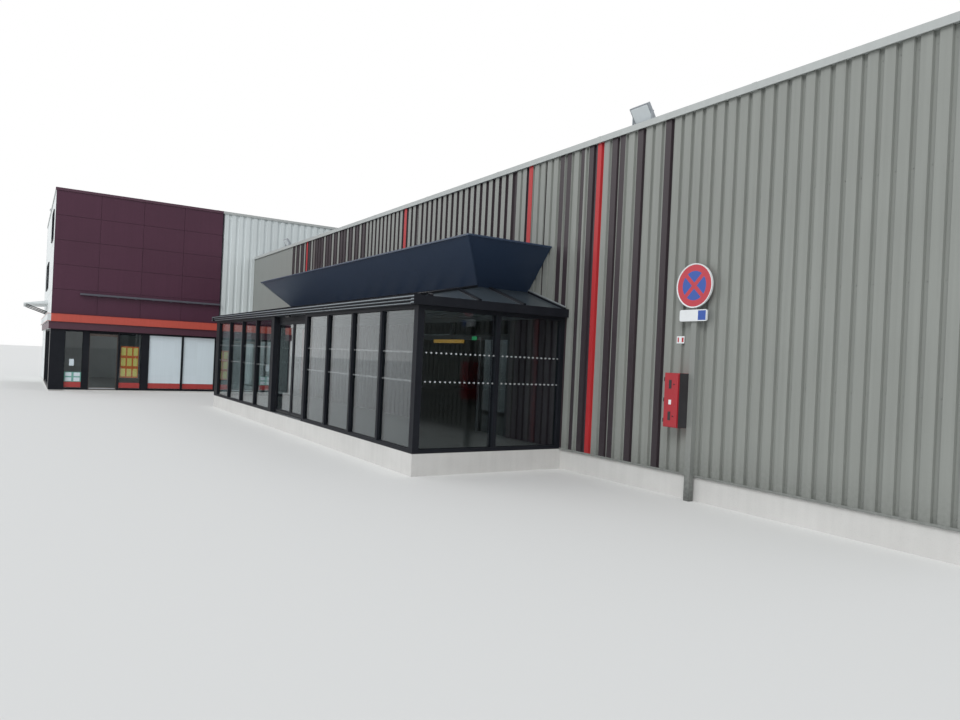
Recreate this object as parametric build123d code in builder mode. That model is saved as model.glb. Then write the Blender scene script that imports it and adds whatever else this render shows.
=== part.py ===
"""Supermarket building: a ribbed steel hall, a glazed entrance vestibule and a taller shop wing.

The frame has its origin on the ground under the middle of the building, +X to the right along the
hall's front wall as seen from outside, +Y into the building and +Z up. Sizes are in millimetres.
"""
from build123d import *
import os

# Overall sizes
hall_length = 28400
hall_depth = 22000
hall_height = 5950
wing_width = 11400
wing_reach = 7530
wing_height = 7750

# Walls, floors and roofs
wall_thickness = 200
rib_depth = 40
rib_slope = 75
rib_pitch = 200
rib_foot = 150
stripe_pitch = 250
stripe_foot = 160
wing_rib_pitch = 300
wing_rib_foot = 190
hall_floor_level = 370
wing_floor_level = 50
roof_thickness = 180
parapet_rise = 450
cap_height = 100
cap_overhang = 30
cap_joint = 2
plinth_setback = 30

# Stretches of the hall's front wall, from the inner corner to the right
smooth_length = 5200
ribbed_left_length = 10000
entrance_width = 4400

# Inner entrance in the hall's front wall
entrance_height = 2900
entrance_post = 100
entrance_header_height = 110
entrance_door_height = 2010
entrance_side_light = 1000
entrance_transom_mullion = 1900

# Vestibule
vestibule_offset = 7200
vestibule_length = 14180
vestibule_depth = 3050
vestibule_height = 2420
post_width = 80
post_depth = 120
sill_height = 60
head_height = 60
glass_thickness = 24
right_bays = 4
left_bays = 4
side_bays = 2
door_jamb_width = 60
thick_post_width = 160
end_post_width = 320
corner_post_width = 140
right_group_length = 5420
door_opening = 2340

# Eave gutter, vestibule roof and sign box
gutter_steps = 3
gutter_step_height = 50
gutter_step_reach = 35
gutter_reach = 70
fascia_reach = 100
roof_rise = 384
seam_width = 60
seam_height = 35
seam_pitch = 940
seam_end_gap = 70
sign_base_left = 1930
sign_base_right = 1190
sign_base_depth = 1180
sign_height = 835
sign_lean = 690
sign_left_lean = 1240

# Sliding doors
leaf_thickness = 44
leaf_stile = 55
leaf_rail = 90
leaf_glass = 12
door_gap = 10
floor_gap = 8
header_height = 110
header_depth = 160
slot_neck = 22
slot_width = 46
slot_height = 36
slot_floor = 24
hanger_length = 120
hanger_neck = 10
hanger_height = 24
hanger_seat = 0.3
hanger_side_gap = 6
leaf_meeting_gap = 6
leaf_overlap = 30
header_end = 60

# Wing
shopfront_height = 2370
strip_height = 280
strip_reach = 60
band_height = 300
band_reach = 120
cassette_length = 6130
cassette_rows = 5
cassette_columns = 4
cassette_joint = 14
cassette_joint_depth = 18
corner_pier = 500
shop_post_width = 230
shop_door_left = 1330
shop_door_width = 1000
shop_setback = 40
shop_jamb_width = 60
shop_first_pane = 790
shop_pier_width = 280
shop_mullion_width = 60
shop_end_post = 100
end_glazing_length = 6000
end_glazing_bays = 3
window_high_offset = 1300
window_high_width = 1500
window_high_drop = 1700
window_low_offset = 5600
window_low_width = 2600
window_low_drop = 3400
window_height = 1100
window_frame = 60
canopy_offset = 5200
canopy_length = 3800
canopy_reach = 900
canopy_level = 3500
canopy_rise = 160
canopy_thickness = 40
canopy_root_drop = 100
rail_level = 3720
rail_height = 70
rail_reach = 140
rail_offset = 930
rail_length = 5200

# Fittings on the front wall
cabinet_offset = 24120
cabinet_width = 285
cabinet_height = 810
cabinet_depth = 270
cabinet_level = 1070
cabinet_door_margin = 14
cabinet_door_thickness = 18
post_offset = 24410
sign_post_width = 100
sign_post_depth = 90
sign_disc_radius = 325
sign_disc_thickness = 30
sign_disc_level = 3180
sign_plate_width = 500
sign_plate_height = 170
sign_plate_gap = 30
sign_plate_corner = 28
floodlight_width = 410
floodlight_height = 60
floodlight_length = 310
floodlight_tilt = 55
floodlight_arm = 50
floodlight_arm_thickness = 12
floodlight_lift = 170
floodlight_setback = 80
floodlight_foot = 160
floodlight_foot_thickness = 15
floodlight_right_offset = 23050
floodlight_left_offset = 4250
floodlight_wing_offset = 7600

# Places worked out from the sizes above
total_length = hall_length + wing_width
left_x = -total_length / 2
corner_x = left_x + wing_width
right_x = total_length / 2
total_depth = canopy_reach + wing_reach + hall_depth + cap_overhang
wing_front_y = canopy_reach - total_depth / 2
hall_front_y = wing_front_y + wing_reach
back_y = hall_front_y + hall_depth
hall_wall_top = hall_height - cap_height
wing_wall_top = wing_height - cap_height
hall_roof_base = hall_wall_top - parapet_rise - roof_thickness
wing_roof_base = wing_wall_top - parapet_rise - roof_thickness

os.makedirs("parts", exist_ok=True)


def save(builder, name):
    """Label a finished piece and write it to its own file."""
    builder.part.label = name
    export_step(builder.part, f"parts/{name}.step")


def block(x0, x1, y0, y1, z0, z1):
    """Add a box between two opposite corners to the open part."""
    with Locations(((x0 + x1) / 2, (y0 + y1) / 2, z0)):
        Box(x1 - x0, y1 - y0, z1 - z0, align=(Align.CENTER, Align.CENTER, Align.MIN))


def cut_block(x0, x1, y0, y1, z0, z1):
    """Cut a box between two opposite corners out of the open part."""
    with Locations(((x0 + x1) / 2, (y0 + y1) / 2, z0)):
        Box(x1 - x0, y1 - y0, z1 - z0,
            align=(Align.CENTER, Align.CENTER, Align.MIN), mode=Mode.SUBTRACT)


def ribbed_wall(start, along, base, top, length, pitch, foot):
    """Add a wall whose outer face has trapezoid ribs.

    start is the wall's left end on the rib crests as seen from outside, along is its direction to
    the right, and foot is the width of a rib where it leaves the wall.
    """
    plan = Plane(origin=(start[0], start[1], base), x_dir=(along[0], along[1], 0), z_dir=(0, 0, 1))
    count = int(length // pitch)
    with BuildSketch(plan) as outline:
        with Locations((length / 2, rib_depth)):
            Rectangle(length, wall_thickness - rib_depth, align=(Align.CENTER, Align.MIN))
        with Locations((length / 2, rib_depth / 2)):
            with GridLocations(pitch, pitch, count, 1):
                Trapezoid(foot, rib_depth, rib_slope, rotation=180)
    extrude(outline.sketch, amount=top - base)


def post_row(x0, x1, bays, y0, y1, z0, z1):
    """Add the upright posts that divide a stretch along X into equal bays, both ends included."""
    pitch = (x1 - x0 - post_width) / bays
    for i in range(bays + 1):
        left = x0 + i * pitch
        block(left, left + post_width, y0, y1, z0, z1)


def pane_row(x0, x1, bays, y, z0, z1):
    """Add one pane in each bay of a post row."""
    pitch = (x1 - x0 - post_width) / bays
    for i in range(bays):
        left = x0 + i * pitch + post_width
        block(left, left + pitch - post_width, y, y + glass_thickness, z0, z1)


# Hall base: the floor slab, whose edge is the plinth under the walls
with BuildPart() as hall_base:
    block(corner_x, right_x - plinth_setback, hall_front_y + plinth_setback,
          back_y - plinth_setback, 0, hall_floor_level)
save(hall_base, "hall_base")

# Front wall of the hall, in stretches
smooth_right = corner_x + smooth_length
entrance_left = smooth_right + ribbed_left_length
entrance_right = entrance_left + entrance_width
entrance_top = hall_floor_level + entrance_height
along_front = (1, 0)

with BuildPart() as hall_front_smooth:
    block(corner_x, smooth_right, hall_front_y, hall_front_y + wall_thickness,
          hall_floor_level, hall_wall_top)
save(hall_front_smooth, "hall_front_wall_smooth")

front_stretches = {
    "left": (smooth_right, ribbed_left_length, hall_floor_level, stripe_pitch, stripe_foot),
    "over_entrance": (entrance_left, entrance_width, entrance_top, stripe_pitch, stripe_foot),
    "right": (entrance_right, right_x - entrance_right, hall_floor_level, rib_pitch, rib_foot),
}
for name, (stretch_x, stretch_length, stretch_base, pitch, foot) in front_stretches.items():
    with BuildPart() as stretch:
        ribbed_wall((stretch_x, hall_front_y), along_front, stretch_base, hall_wall_top,
                    stretch_length, pitch, foot)
    save(stretch, f"hall_front_wall_{name}")

# Right and back walls of the hall
side_wall_length = hall_depth - 2 * wall_thickness
with BuildPart() as hall_right:
    ribbed_wall((right_x, hall_front_y + wall_thickness), (0, 1), hall_floor_level, hall_wall_top,
                side_wall_length, rib_pitch, rib_foot)
save(hall_right, "hall_right_wall")

with BuildPart() as hall_back:
    ribbed_wall((right_x, back_y), (-1, 0), hall_floor_level, hall_wall_top,
                hall_length, rib_pitch, rib_foot)
save(hall_back, "hall_back_wall")

# Flat roof deck between the walls
with BuildPart() as hall_roof:
    block(corner_x, right_x - wall_thickness, hall_front_y + wall_thickness,
          back_y - wall_thickness, hall_roof_base, hall_roof_base + roof_thickness)
save(hall_roof, "hall_roof")

# Capping of the hall's parapets: one length on each of three sides
cap_front = hall_front_y - cap_overhang
cap_back = back_y + cap_overhang
with BuildPart() as hall_capping:
    block(corner_x, right_x + cap_overhang, cap_front, hall_front_y + wall_thickness,
          hall_wall_top, hall_height)
    block(corner_x, right_x + cap_overhang, back_y - wall_thickness, cap_back,
          hall_wall_top, hall_height)
    block(right_x - wall_thickness, right_x + cap_overhang,
          hall_front_y + wall_thickness + cap_joint, back_y - wall_thickness - cap_joint,
          hall_wall_top, hall_height)
save(hall_capping, "hall_capping")

# Inner entrance: posts, header and transom in the opening of the front wall
frame_y0 = hall_front_y + rib_depth
frame_y1 = frame_y0 + entrance_post
header_z0 = hall_floor_level + entrance_door_height
header_z1 = header_z0 + entrance_header_height
light_post_x = entrance_right - entrance_post - entrance_side_light - entrance_post
transom_x = entrance_left + entrance_transom_mullion
with BuildPart() as inner_entrance_frame:
    block(entrance_left, entrance_left + entrance_post, frame_y0, frame_y1,
          hall_floor_level, entrance_top)
    block(entrance_right - entrance_post, entrance_right, frame_y0, frame_y1,
          hall_floor_level, entrance_top)
    block(light_post_x, light_post_x + entrance_post, frame_y0, frame_y1,
          hall_floor_level, header_z0)
    block(entrance_left, entrance_right, frame_y0, frame_y1, header_z0, header_z1)
    block(entrance_left, entrance_right, frame_y0, frame_y1,
          entrance_top - entrance_post, entrance_top)
    block(transom_x, transom_x + entrance_post, frame_y0, frame_y1, header_z1, entrance_top)
save(inner_entrance_frame, "inner_entrance_frame")

pane_y = (frame_y0 + frame_y1 - glass_thickness) / 2
with BuildPart() as inner_entrance_glass:
    block(entrance_left + entrance_post, transom_x, pane_y, pane_y + glass_thickness,
          header_z1, entrance_top - entrance_post)
    block(transom_x + entrance_post, entrance_right - entrance_post, pane_y,
          pane_y + glass_thickness, header_z1, entrance_top - entrance_post)
    block(light_post_x + entrance_post, entrance_right - entrance_post, pane_y,
          pane_y + glass_thickness, hall_floor_level, header_z0)
save(inner_entrance_glass, "inner_entrance_glass")

# Vestibule base
vestibule_left = corner_x + vestibule_offset
vestibule_right = vestibule_left + vestibule_length
vestibule_front = hall_front_y - vestibule_depth
eave_base = hall_floor_level + vestibule_height
with BuildPart() as vestibule_base:
    block(vestibule_left, vestibule_right, vestibule_front, hall_front_y + plinth_setback,
          0, hall_floor_level)
save(vestibule_base, "vestibule_base")

# Vestibule front: two glazed groups either side of the sliding door
right_group_left = vestibule_right - right_group_length
door_right = right_group_left - door_jamb_width
door_left = door_right - door_opening
left_group_right = door_left - thick_post_width
left_group_left = vestibule_left + end_post_width
frame_back = vestibule_front + post_depth
glass_y = vestibule_front + (post_depth - glass_thickness) / 2
sill_top = hall_floor_level + sill_height
head_base = eave_base - head_height
right_row_end = vestibule_right - corner_post_width + post_width

with BuildPart() as front_right_frame:
    post_row(right_group_left, right_row_end, right_bays, vestibule_front, frame_back,
             hall_floor_level, eave_base)
    block(vestibule_right - corner_post_width, vestibule_right, vestibule_front, frame_back,
          hall_floor_level, eave_base)
    block(door_right, right_group_left, vestibule_front, frame_back, hall_floor_level, eave_base)
    block(door_right, vestibule_right, vestibule_front, frame_back, hall_floor_level, sill_top)
    block(door_right, vestibule_right, vestibule_front, frame_back, head_base, eave_base)
save(front_right_frame, "vestibule_front_right_frame")

with BuildPart() as front_right_glass:
    pane_row(right_group_left, right_row_end, right_bays, glass_y, sill_top, head_base)
save(front_right_glass, "vestibule_front_right_glass")

with BuildPart() as front_left_frame:
    post_row(left_group_left, left_group_right, left_bays, vestibule_front, frame_back,
             hall_floor_level, eave_base)
    block(vestibule_left, left_group_left, vestibule_front, frame_back,
          hall_floor_level, eave_base)
    block(left_group_right, door_left, vestibule_front, frame_back, hall_floor_level, eave_base)
    block(vestibule_left, door_left, vestibule_front, frame_back, hall_floor_level, sill_top)
    block(vestibule_left, door_left, vestibule_front, frame_back, head_base, eave_base)
save(front_left_frame, "vestibule_front_left_frame")

with BuildPart() as front_left_glass:
    pane_row(left_group_left, left_group_right, left_bays, glass_y, sill_top, head_base)
save(front_left_glass, "vestibule_front_left_glass")

# Vestibule sides, from the front frame back to the hall's wall
side_length = hall_front_y - frame_back
side_pitch = (side_length - post_width) / side_bays
for side, frame_x in (("left", vestibule_left), ("right", vestibule_right - post_depth)):
    side_glass_x = frame_x + (post_depth - glass_thickness) / 2
    with BuildPart() as side_frame:
        block(frame_x, frame_x + post_depth, frame_back, hall_front_y, hall_floor_level, sill_top)
        block(frame_x, frame_x + post_depth, frame_back, hall_front_y, head_base, eave_base)
        for i in range(1, side_bays + 1):
            post_y = frame_back + i * side_pitch
            block(frame_x, frame_x + post_depth, post_y, post_y + post_width,
                  hall_floor_level, eave_base)
    save(side_frame, f"vestibule_{side}_side_frame")
    with BuildPart() as side_glass:
        block(side_glass_x, side_glass_x + glass_thickness, frame_back, frame_back + side_pitch,
              sill_top, head_base)
        for i in range(1, side_bays):
            pane_start = frame_back + i * side_pitch + post_width
            block(side_glass_x, side_glass_x + glass_thickness, pane_start,
                  pane_start + side_pitch - post_width, sill_top, head_base)
    save(side_glass, f"vestibule_{side}_side_glass")

# Eave of the vestibule: a stepped gutter along the front between two plain side fascias
eave_top = eave_base + gutter_steps * gutter_step_height
gutter_front = vestibule_front - gutter_reach - (gutter_steps - 1) * gutter_step_reach
with BuildPart() as gutter:
    for i in range(gutter_steps):
        reach = gutter_reach + i * gutter_step_reach
        step_base = eave_base + i * gutter_step_height
        block(vestibule_left, vestibule_right, vestibule_front - reach, vestibule_front,
              step_base, step_base + gutter_step_height)
    for fascia_x in (vestibule_left - fascia_reach, vestibule_right):
        block(fascia_x, fascia_x + fascia_reach, gutter_front, hall_front_y, eave_base, eave_top)
save(gutter, "vestibule_gutter")

# Vestibule roof: a flat ceiling under three sloping sides that rise to the sign box
sign_left = vestibule_left + sign_base_left
sign_right = vestibule_right - sign_base_right
sign_base_length = sign_right - sign_left
sign_front = hall_front_y - sign_base_depth
sign_top_left = sign_left - sign_left_lean
sign_top_right = sign_right + sign_lean
ridge_level = eave_top + roof_rise
with BuildPart() as vestibule_roof:
    block(vestibule_left, vestibule_right, vestibule_front, hall_front_y, eave_base, eave_top)
    with BuildSketch(Plane.XY.offset(eave_top)):
        with Locations(((vestibule_left + vestibule_right) / 2, hall_front_y)):
            Rectangle(vestibule_length, vestibule_depth, align=(Align.CENTER, Align.MAX))
    with BuildSketch(Plane.XY.offset(ridge_level)):
        with Locations(((sign_left + sign_right) / 2, hall_front_y)):
            Rectangle(sign_base_length, sign_base_depth, align=(Align.CENTER, Align.MAX))
    loft(ruled=True)
save(vestibule_roof, "vestibule_roof")


def seam_bar(foot, head):
    """Add one bar that lies along a roof slope or hip and stops just short of its head."""
    run = Vector(*head) - Vector(*foot)
    side = Vector(0, 0, 1).cross(run)
    with BuildSketch(Plane(origin=foot, x_dir=tuple(side), z_dir=tuple(run))) as section:
        Rectangle(seam_width, seam_height, align=(Align.CENTER, Align.MIN))
    extrude(section.sketch, amount=run.length - seam_end_gap)


# Seam bars on the three slopes, from the eave up to the sign box or to the hip, with a bar on each
# hip and a flashing along the wall
front_run = sign_front - vestibule_front
left_run = sign_left - vestibule_left
right_run = vestibule_right - sign_right
front_seam_count = int(vestibule_length // seam_pitch)
side_seam_count = int(vestibule_depth // seam_pitch)
flashing_y = hall_front_y - seam_width / 2
with BuildPart() as roof_seams:
    for i in range(1, front_seam_count + 1):
        seam_x = vestibule_right - i * seam_pitch
        rise = min((vestibule_right - seam_x) / right_run, (seam_x - vestibule_left) / left_run, 1)
        seam_bar((seam_x, vestibule_front, eave_top),
                 (seam_x, vestibule_front + rise * front_run, eave_top + rise * roof_rise))
    side_seams = [hall_front_y - i * seam_pitch for i in range(1, side_seam_count + 1)]
    for seam_y in (flashing_y, *side_seams):
        rise = min((seam_y - vestibule_front) / front_run, 1)
        head_level = eave_top + rise * roof_rise
        seam_bar((vestibule_right, seam_y, eave_top),
                 (vestibule_right - rise * right_run, seam_y, head_level))
        seam_bar((vestibule_left, seam_y, eave_top),
                 (vestibule_left + rise * left_run, seam_y, head_level))
    seam_bar((vestibule_right, vestibule_front, eave_top), (sign_right, sign_front, ridge_level))
    seam_bar((vestibule_left, vestibule_front, eave_top), (sign_left, sign_front, ridge_level))
save(roof_seams, "vestibule_roof_seams")

# Sign box: a hopper that leans outwards on its three free sides
with BuildPart() as sign_box:
    with BuildSketch(Plane.XY.offset(ridge_level)):
        with Locations(((sign_left + sign_right) / 2, hall_front_y)):
            Rectangle(sign_base_length, sign_base_depth, align=(Align.CENTER, Align.MAX))
    with BuildSketch(Plane.XY.offset(ridge_level + sign_height)):
        with Locations(((sign_top_left + sign_top_right) / 2, hall_front_y)):
            Rectangle(sign_top_right - sign_top_left, sign_base_depth + sign_lean,
                      align=(Align.CENTER, Align.MAX))
    loft(ruled=True)
save(sign_box, "sign_box")


def door_header(x0, x1, front, base, height, depth):
    """Add a door operator box with a T-slot track in its underside."""
    block(x0, x1, front, front + depth, base, base + height)
    middle = front + leaf_thickness / 2 + door_gap
    cut_block(x0, x1, middle - slot_neck / 2, middle + slot_neck / 2, base, base + slot_floor)
    cut_block(x0, x1, middle - slot_width / 2, middle + slot_width / 2, base + slot_floor,
              base + slot_floor + slot_height)


def sliding_leaf(x0, x1, front, base, top, track_base):
    """Add a leaf's frame with two hangers whose heads ride in the track above it."""
    back = front + leaf_thickness
    middle = (front + back) / 2
    head_width = slot_width - 2 * hanger_side_gap
    block(x0, x1, front, back, base, top)
    cut_block(x0 + leaf_stile, x1 - leaf_stile, front, back, base + leaf_rail, top - leaf_rail)
    seat = track_base + slot_floor + hanger_seat
    for hanger_x in (x0 + (x1 - x0) / 4, x1 - (x1 - x0) / 4):
        block(hanger_x - hanger_length / 2, hanger_x + hanger_length / 2,
              middle - hanger_neck / 2, middle + hanger_neck / 2, top, seat)
        block(hanger_x - hanger_length / 2, hanger_x + hanger_length / 2,
              middle - head_width / 2, middle + head_width / 2, seat, seat + hanger_height)


# Vestibule sliding door: operator box and two leaves that part in the middle
leaf_front = frame_back + door_gap
header_base = eave_base - header_height
leaf_base = hall_floor_level + floor_gap
leaf_top = header_base - floor_gap
leaf_width = door_opening / 2 + leaf_overlap - leaf_meeting_gap / 2
door_middle = (door_left + door_right) / 2
door_travel = door_opening / 2 - leaf_overlap
header_reach = door_travel + leaf_overlap + header_end
with BuildPart() as vestibule_door_header:
    door_header(door_left - header_reach, door_right + header_reach, frame_back, header_base,
                header_height, header_depth)
save(vestibule_door_header, "vestibule_door_header")

leaf_places = {
    "left": (door_middle - leaf_meeting_gap / 2 - leaf_width, door_middle - leaf_meeting_gap / 2),
    "right": (door_middle + leaf_meeting_gap / 2, door_middle + leaf_meeting_gap / 2 + leaf_width),
}
leaf_glass_y = leaf_front + (leaf_thickness - leaf_glass) / 2
for side, (leaf_x0, leaf_x1) in leaf_places.items():
    with BuildPart() as leaf:
        sliding_leaf(leaf_x0, leaf_x1, leaf_front, leaf_base, leaf_top, header_base)
    save(leaf, f"vestibule_door_{side}_leaf")
    with BuildPart() as pane:
        block(leaf_x0 + leaf_stile, leaf_x1 - leaf_stile, leaf_glass_y, leaf_glass_y + leaf_glass,
              leaf_base + leaf_rail, leaf_top - leaf_rail)
    save(pane, f"vestibule_door_{side}_glass")

# Wing base and walls
with BuildPart() as wing_base:
    block(left_x + plinth_setback, corner_x - plinth_setback, wing_front_y,
          back_y - plinth_setback, 0, wing_floor_level)
save(wing_base, "wing_base")

# Smooth cassette wall over the shopfront
strip_top = shopfront_height + strip_height
band_top = strip_top + band_height
cassette_back = wing_front_y + cassette_length
cassette_height = (wing_wall_top - band_top) / cassette_rows
cassette_width = cassette_length / cassette_columns
joint_x = corner_x - cassette_joint_depth
with BuildPart() as wing_front_wall:
    block(corner_x - wall_thickness, corner_x, wing_front_y, cassette_back,
          shopfront_height, wing_wall_top)
    for i in range(cassette_rows):
        joint_level = band_top + i * cassette_height
        cut_block(joint_x, corner_x, wing_front_y, cassette_back,
                  joint_level, joint_level + cassette_joint)
    for i in range(1, cassette_columns):
        joint_y = wing_front_y + i * cassette_width - cassette_joint / 2
        cut_block(joint_x, corner_x, joint_y, joint_y + cassette_joint, band_top, wing_wall_top)
save(wing_front_wall, "wing_front_wall")

# Ribbed wall between the cassettes and the back, shared with the hall
with BuildPart() as wing_inner_wall:
    ribbed_wall((corner_x, cassette_back), (0, 1), wing_floor_level, wing_wall_top,
                back_y - cassette_back, wing_rib_pitch, wing_rib_foot)
save(wing_inner_wall, "wing_inner_wall")

# End wall with two upper windows and a glazed ground floor
end_right = corner_x - wall_thickness
end_inner_y = wing_front_y + wall_thickness
glazing_right = end_right - corner_pier
glazing_left = glazing_right - end_glazing_length
high_right = corner_x - window_high_offset
high_left = high_right - window_high_width
low_right = corner_x - window_low_offset
low_left = low_right - window_low_width
window_high_sill = wing_wall_top - window_high_drop
window_low_sill = wing_wall_top - window_low_drop
with BuildPart() as wing_end_wall:
    block(left_x, end_right, wing_front_y, end_inner_y, wing_floor_level, wing_wall_top)
    cut_block(glazing_left, glazing_right, wing_front_y, end_inner_y,
              wing_floor_level, shopfront_height)
    cut_block(high_left, high_right, wing_front_y, end_inner_y,
              window_high_sill, window_high_sill + window_height)
    cut_block(low_left, low_right, wing_front_y, end_inner_y,
              window_low_sill, window_low_sill + window_height)
save(wing_end_wall, "wing_end_wall")

wing_side_length = back_y - wing_front_y - 2 * wall_thickness
with BuildPart() as wing_outer_wall:
    ribbed_wall((left_x, back_y - wall_thickness), (0, -1), wing_floor_level, wing_wall_top,
                wing_side_length, wing_rib_pitch, wing_rib_foot)
save(wing_outer_wall, "wing_outer_wall")

with BuildPart() as wing_back_wall:
    ribbed_wall((corner_x - wall_thickness, back_y), (-1, 0), wing_floor_level, wing_wall_top,
                wing_width - wall_thickness, wing_rib_pitch, wing_rib_foot)
save(wing_back_wall, "wing_back_wall")

with BuildPart() as wing_roof:
    block(left_x + wall_thickness, corner_x - wall_thickness, wing_front_y + wall_thickness,
          back_y - wall_thickness, wing_roof_base, wing_roof_base + roof_thickness)
save(wing_roof, "wing_roof")

with BuildPart() as wing_capping:
    for cap_y0, cap_y1 in ((wing_front_y - cap_overhang, end_inner_y),
                           (back_y - wall_thickness, cap_back)):
        block(left_x - cap_overhang, corner_x + cap_overhang, cap_y0, cap_y1,
              wing_wall_top, wing_height)
    for cap_x0, cap_x1 in ((left_x - cap_overhang, left_x + wall_thickness),
                           (end_right, corner_x + cap_overhang)):
        block(cap_x0, cap_x1, end_inner_y + cap_joint, back_y - wall_thickness - cap_joint,
              wing_wall_top, wing_height)
save(wing_capping, "wing_capping")

# Fascia over the shopfront: a strip and a bolder band above it, round the corner
with BuildPart() as wing_front_fascia:
    block(corner_x, corner_x + strip_reach, wing_front_y, cassette_back,
          shopfront_height, strip_top)
    block(corner_x, corner_x + band_reach, wing_front_y, cassette_back, strip_top, band_top)
save(wing_front_fascia, "wing_front_fascia")

with BuildPart() as wing_end_fascia:
    block(left_x, corner_x + strip_reach, wing_front_y - strip_reach, wing_front_y,
          shopfront_height, strip_top)
    block(left_x, corner_x + band_reach, wing_front_y - band_reach, wing_front_y,
          strip_top, band_top)
save(wing_end_fascia, "wing_end_fascia")

# Shopfront along the wing's front, laid out from the building's corner in its own plane
shop_plane = Plane(origin=(corner_x, wing_front_y, 0), x_dir=(0, 1, 0), z_dir=(0, 0, 1))
shop_front = shop_setback
shop_back = shop_front + post_depth
shop_pane = shop_front + (post_depth - glass_thickness) / 2
shop_sill_top = wing_floor_level + sill_height
shop_head_base = shopfront_height - head_height
shop_door_right = shop_door_left + shop_door_width
shop_jamb_right = shop_door_right + shop_jamb_width
shop_pier_left = shop_jamb_right + shop_first_pane
shop_pier_right = shop_pier_left + shop_pier_width
shop_end_left = cassette_length - shop_end_post
shop_wide_pane = (shop_end_left - shop_pier_right - shop_mullion_width) / 2
shop_mullion_left = shop_pier_right + shop_wide_pane
shop_mullion_right = shop_mullion_left + shop_mullion_width
with BuildPart(shop_plane) as shop_left_frame:
    block(0, corner_pier, 0, wall_thickness, wing_floor_level, shopfront_height)
    block(shop_door_left - shop_post_width, shop_door_left, shop_front, shop_back,
          wing_floor_level, shopfront_height)
    block(corner_pier, shop_door_left, shop_front, shop_back, wing_floor_level, shop_sill_top)
    block(corner_pier, shop_door_left, shop_front, shop_back, shop_head_base, shopfront_height)
save(shop_left_frame, "shopfront_left_frame")

with BuildPart(shop_plane) as shop_left_glass:
    block(corner_pier, shop_door_left - shop_post_width, shop_pane, shop_pane + glass_thickness,
          shop_sill_top, shop_head_base)
save(shop_left_glass, "shopfront_left_glass")

with BuildPart(shop_plane) as shop_right_frame:
    block(shop_door_right, cassette_length, shop_front, shop_back,
          wing_floor_level, shop_sill_top)
    block(shop_door_right, cassette_length, shop_front, shop_back,
          shop_head_base, shopfront_height)
    for upright_left, upright_right in ((shop_door_right, shop_jamb_right),
                                        (shop_pier_left, shop_pier_right),
                                        (shop_mullion_left, shop_mullion_right),
                                        (shop_end_left, cassette_length)):
        block(upright_left, upright_right, shop_front, shop_back, wing_floor_level, shopfront_height)
save(shop_right_frame, "shopfront_right_frame")

with BuildPart(shop_plane) as shop_right_glass:
    for pane_left, pane_right in ((shop_jamb_right, shop_pier_left),
                                  (shop_pier_right, shop_mullion_left),
                                  (shop_mullion_right, shop_end_left)):
        block(pane_left, pane_right, shop_pane, shop_pane + glass_thickness,
              shop_sill_top, shop_head_base)
save(shop_right_glass, "shopfront_right_glass")

# Shopfront sliding door: one leaf that slides behind the bays on its right
shop_header_base = shopfront_height - header_height
shop_leaf_left = shop_door_left - leaf_overlap
shop_leaf_right = shop_door_right + leaf_overlap
shop_travel = shop_door_width
with BuildPart(shop_plane) as shop_door_header:
    door_header(shop_leaf_left - header_end, shop_leaf_right + shop_travel + header_end,
                shop_back, shop_header_base, header_height, header_depth)
save(shop_door_header, "shopfront_door_header")

with BuildPart(shop_plane) as shop_leaf:
    sliding_leaf(shop_leaf_left, shop_leaf_right, shop_back + door_gap,
                 wing_floor_level + floor_gap, shop_header_base - floor_gap, shop_header_base)
save(shop_leaf, "shopfront_door_leaf")

shop_leaf_pane = shop_back + door_gap + (leaf_thickness - leaf_glass) / 2
with BuildPart(shop_plane) as shop_door_glass:
    block(shop_leaf_left + leaf_stile, shop_leaf_right - leaf_stile, shop_leaf_pane,
          shop_leaf_pane + leaf_glass, wing_floor_level + floor_gap + leaf_rail,
          shop_header_base - floor_gap - leaf_rail)
save(shop_door_glass, "shopfront_door_glass")

# Ground-floor glazing in the end wall
end_frame_y0 = wing_front_y + (wall_thickness - post_depth) / 2
end_frame_y1 = end_frame_y0 + post_depth
end_pane_y = end_frame_y0 + (post_depth - glass_thickness) / 2
with BuildPart() as end_frame:
    post_row(glazing_left, glazing_right, end_glazing_bays, end_frame_y0, end_frame_y1,
             wing_floor_level, shopfront_height)
    block(glazing_left, glazing_right, end_frame_y0, end_frame_y1,
          wing_floor_level, shop_sill_top)
    block(glazing_left, glazing_right, end_frame_y0, end_frame_y1,
          shop_head_base, shopfront_height)
save(end_frame, "end_glazing_frame")

with BuildPart() as end_glass:
    pane_row(glazing_left, glazing_right, end_glazing_bays, end_pane_y,
             shop_sill_top, shop_head_base)
save(end_glass, "end_glazing_glass")

# Upper windows of the end wall
upper_windows = ((high_left, high_right, window_high_sill), (low_left, low_right, window_low_sill))
with BuildPart() as window_frames:
    for window_x0, window_x1, sill in upper_windows:
        block(window_x0, window_x1, end_frame_y0, end_frame_y1, sill, sill + window_height)
        cut_block(window_x0 + window_frame, window_x1 - window_frame, end_frame_y0, end_frame_y1,
                  sill + window_frame, sill + window_height - window_frame)
save(window_frames, "upper_window_frames")

with BuildPart() as window_glass:
    for window_x0, window_x1, sill in upper_windows:
        block(window_x0 + window_frame, window_x1 - window_frame, end_pane_y,
              end_pane_y + glass_thickness, sill + window_frame,
              sill + window_height - window_frame)
save(window_glass, "upper_window_glass")

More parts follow.
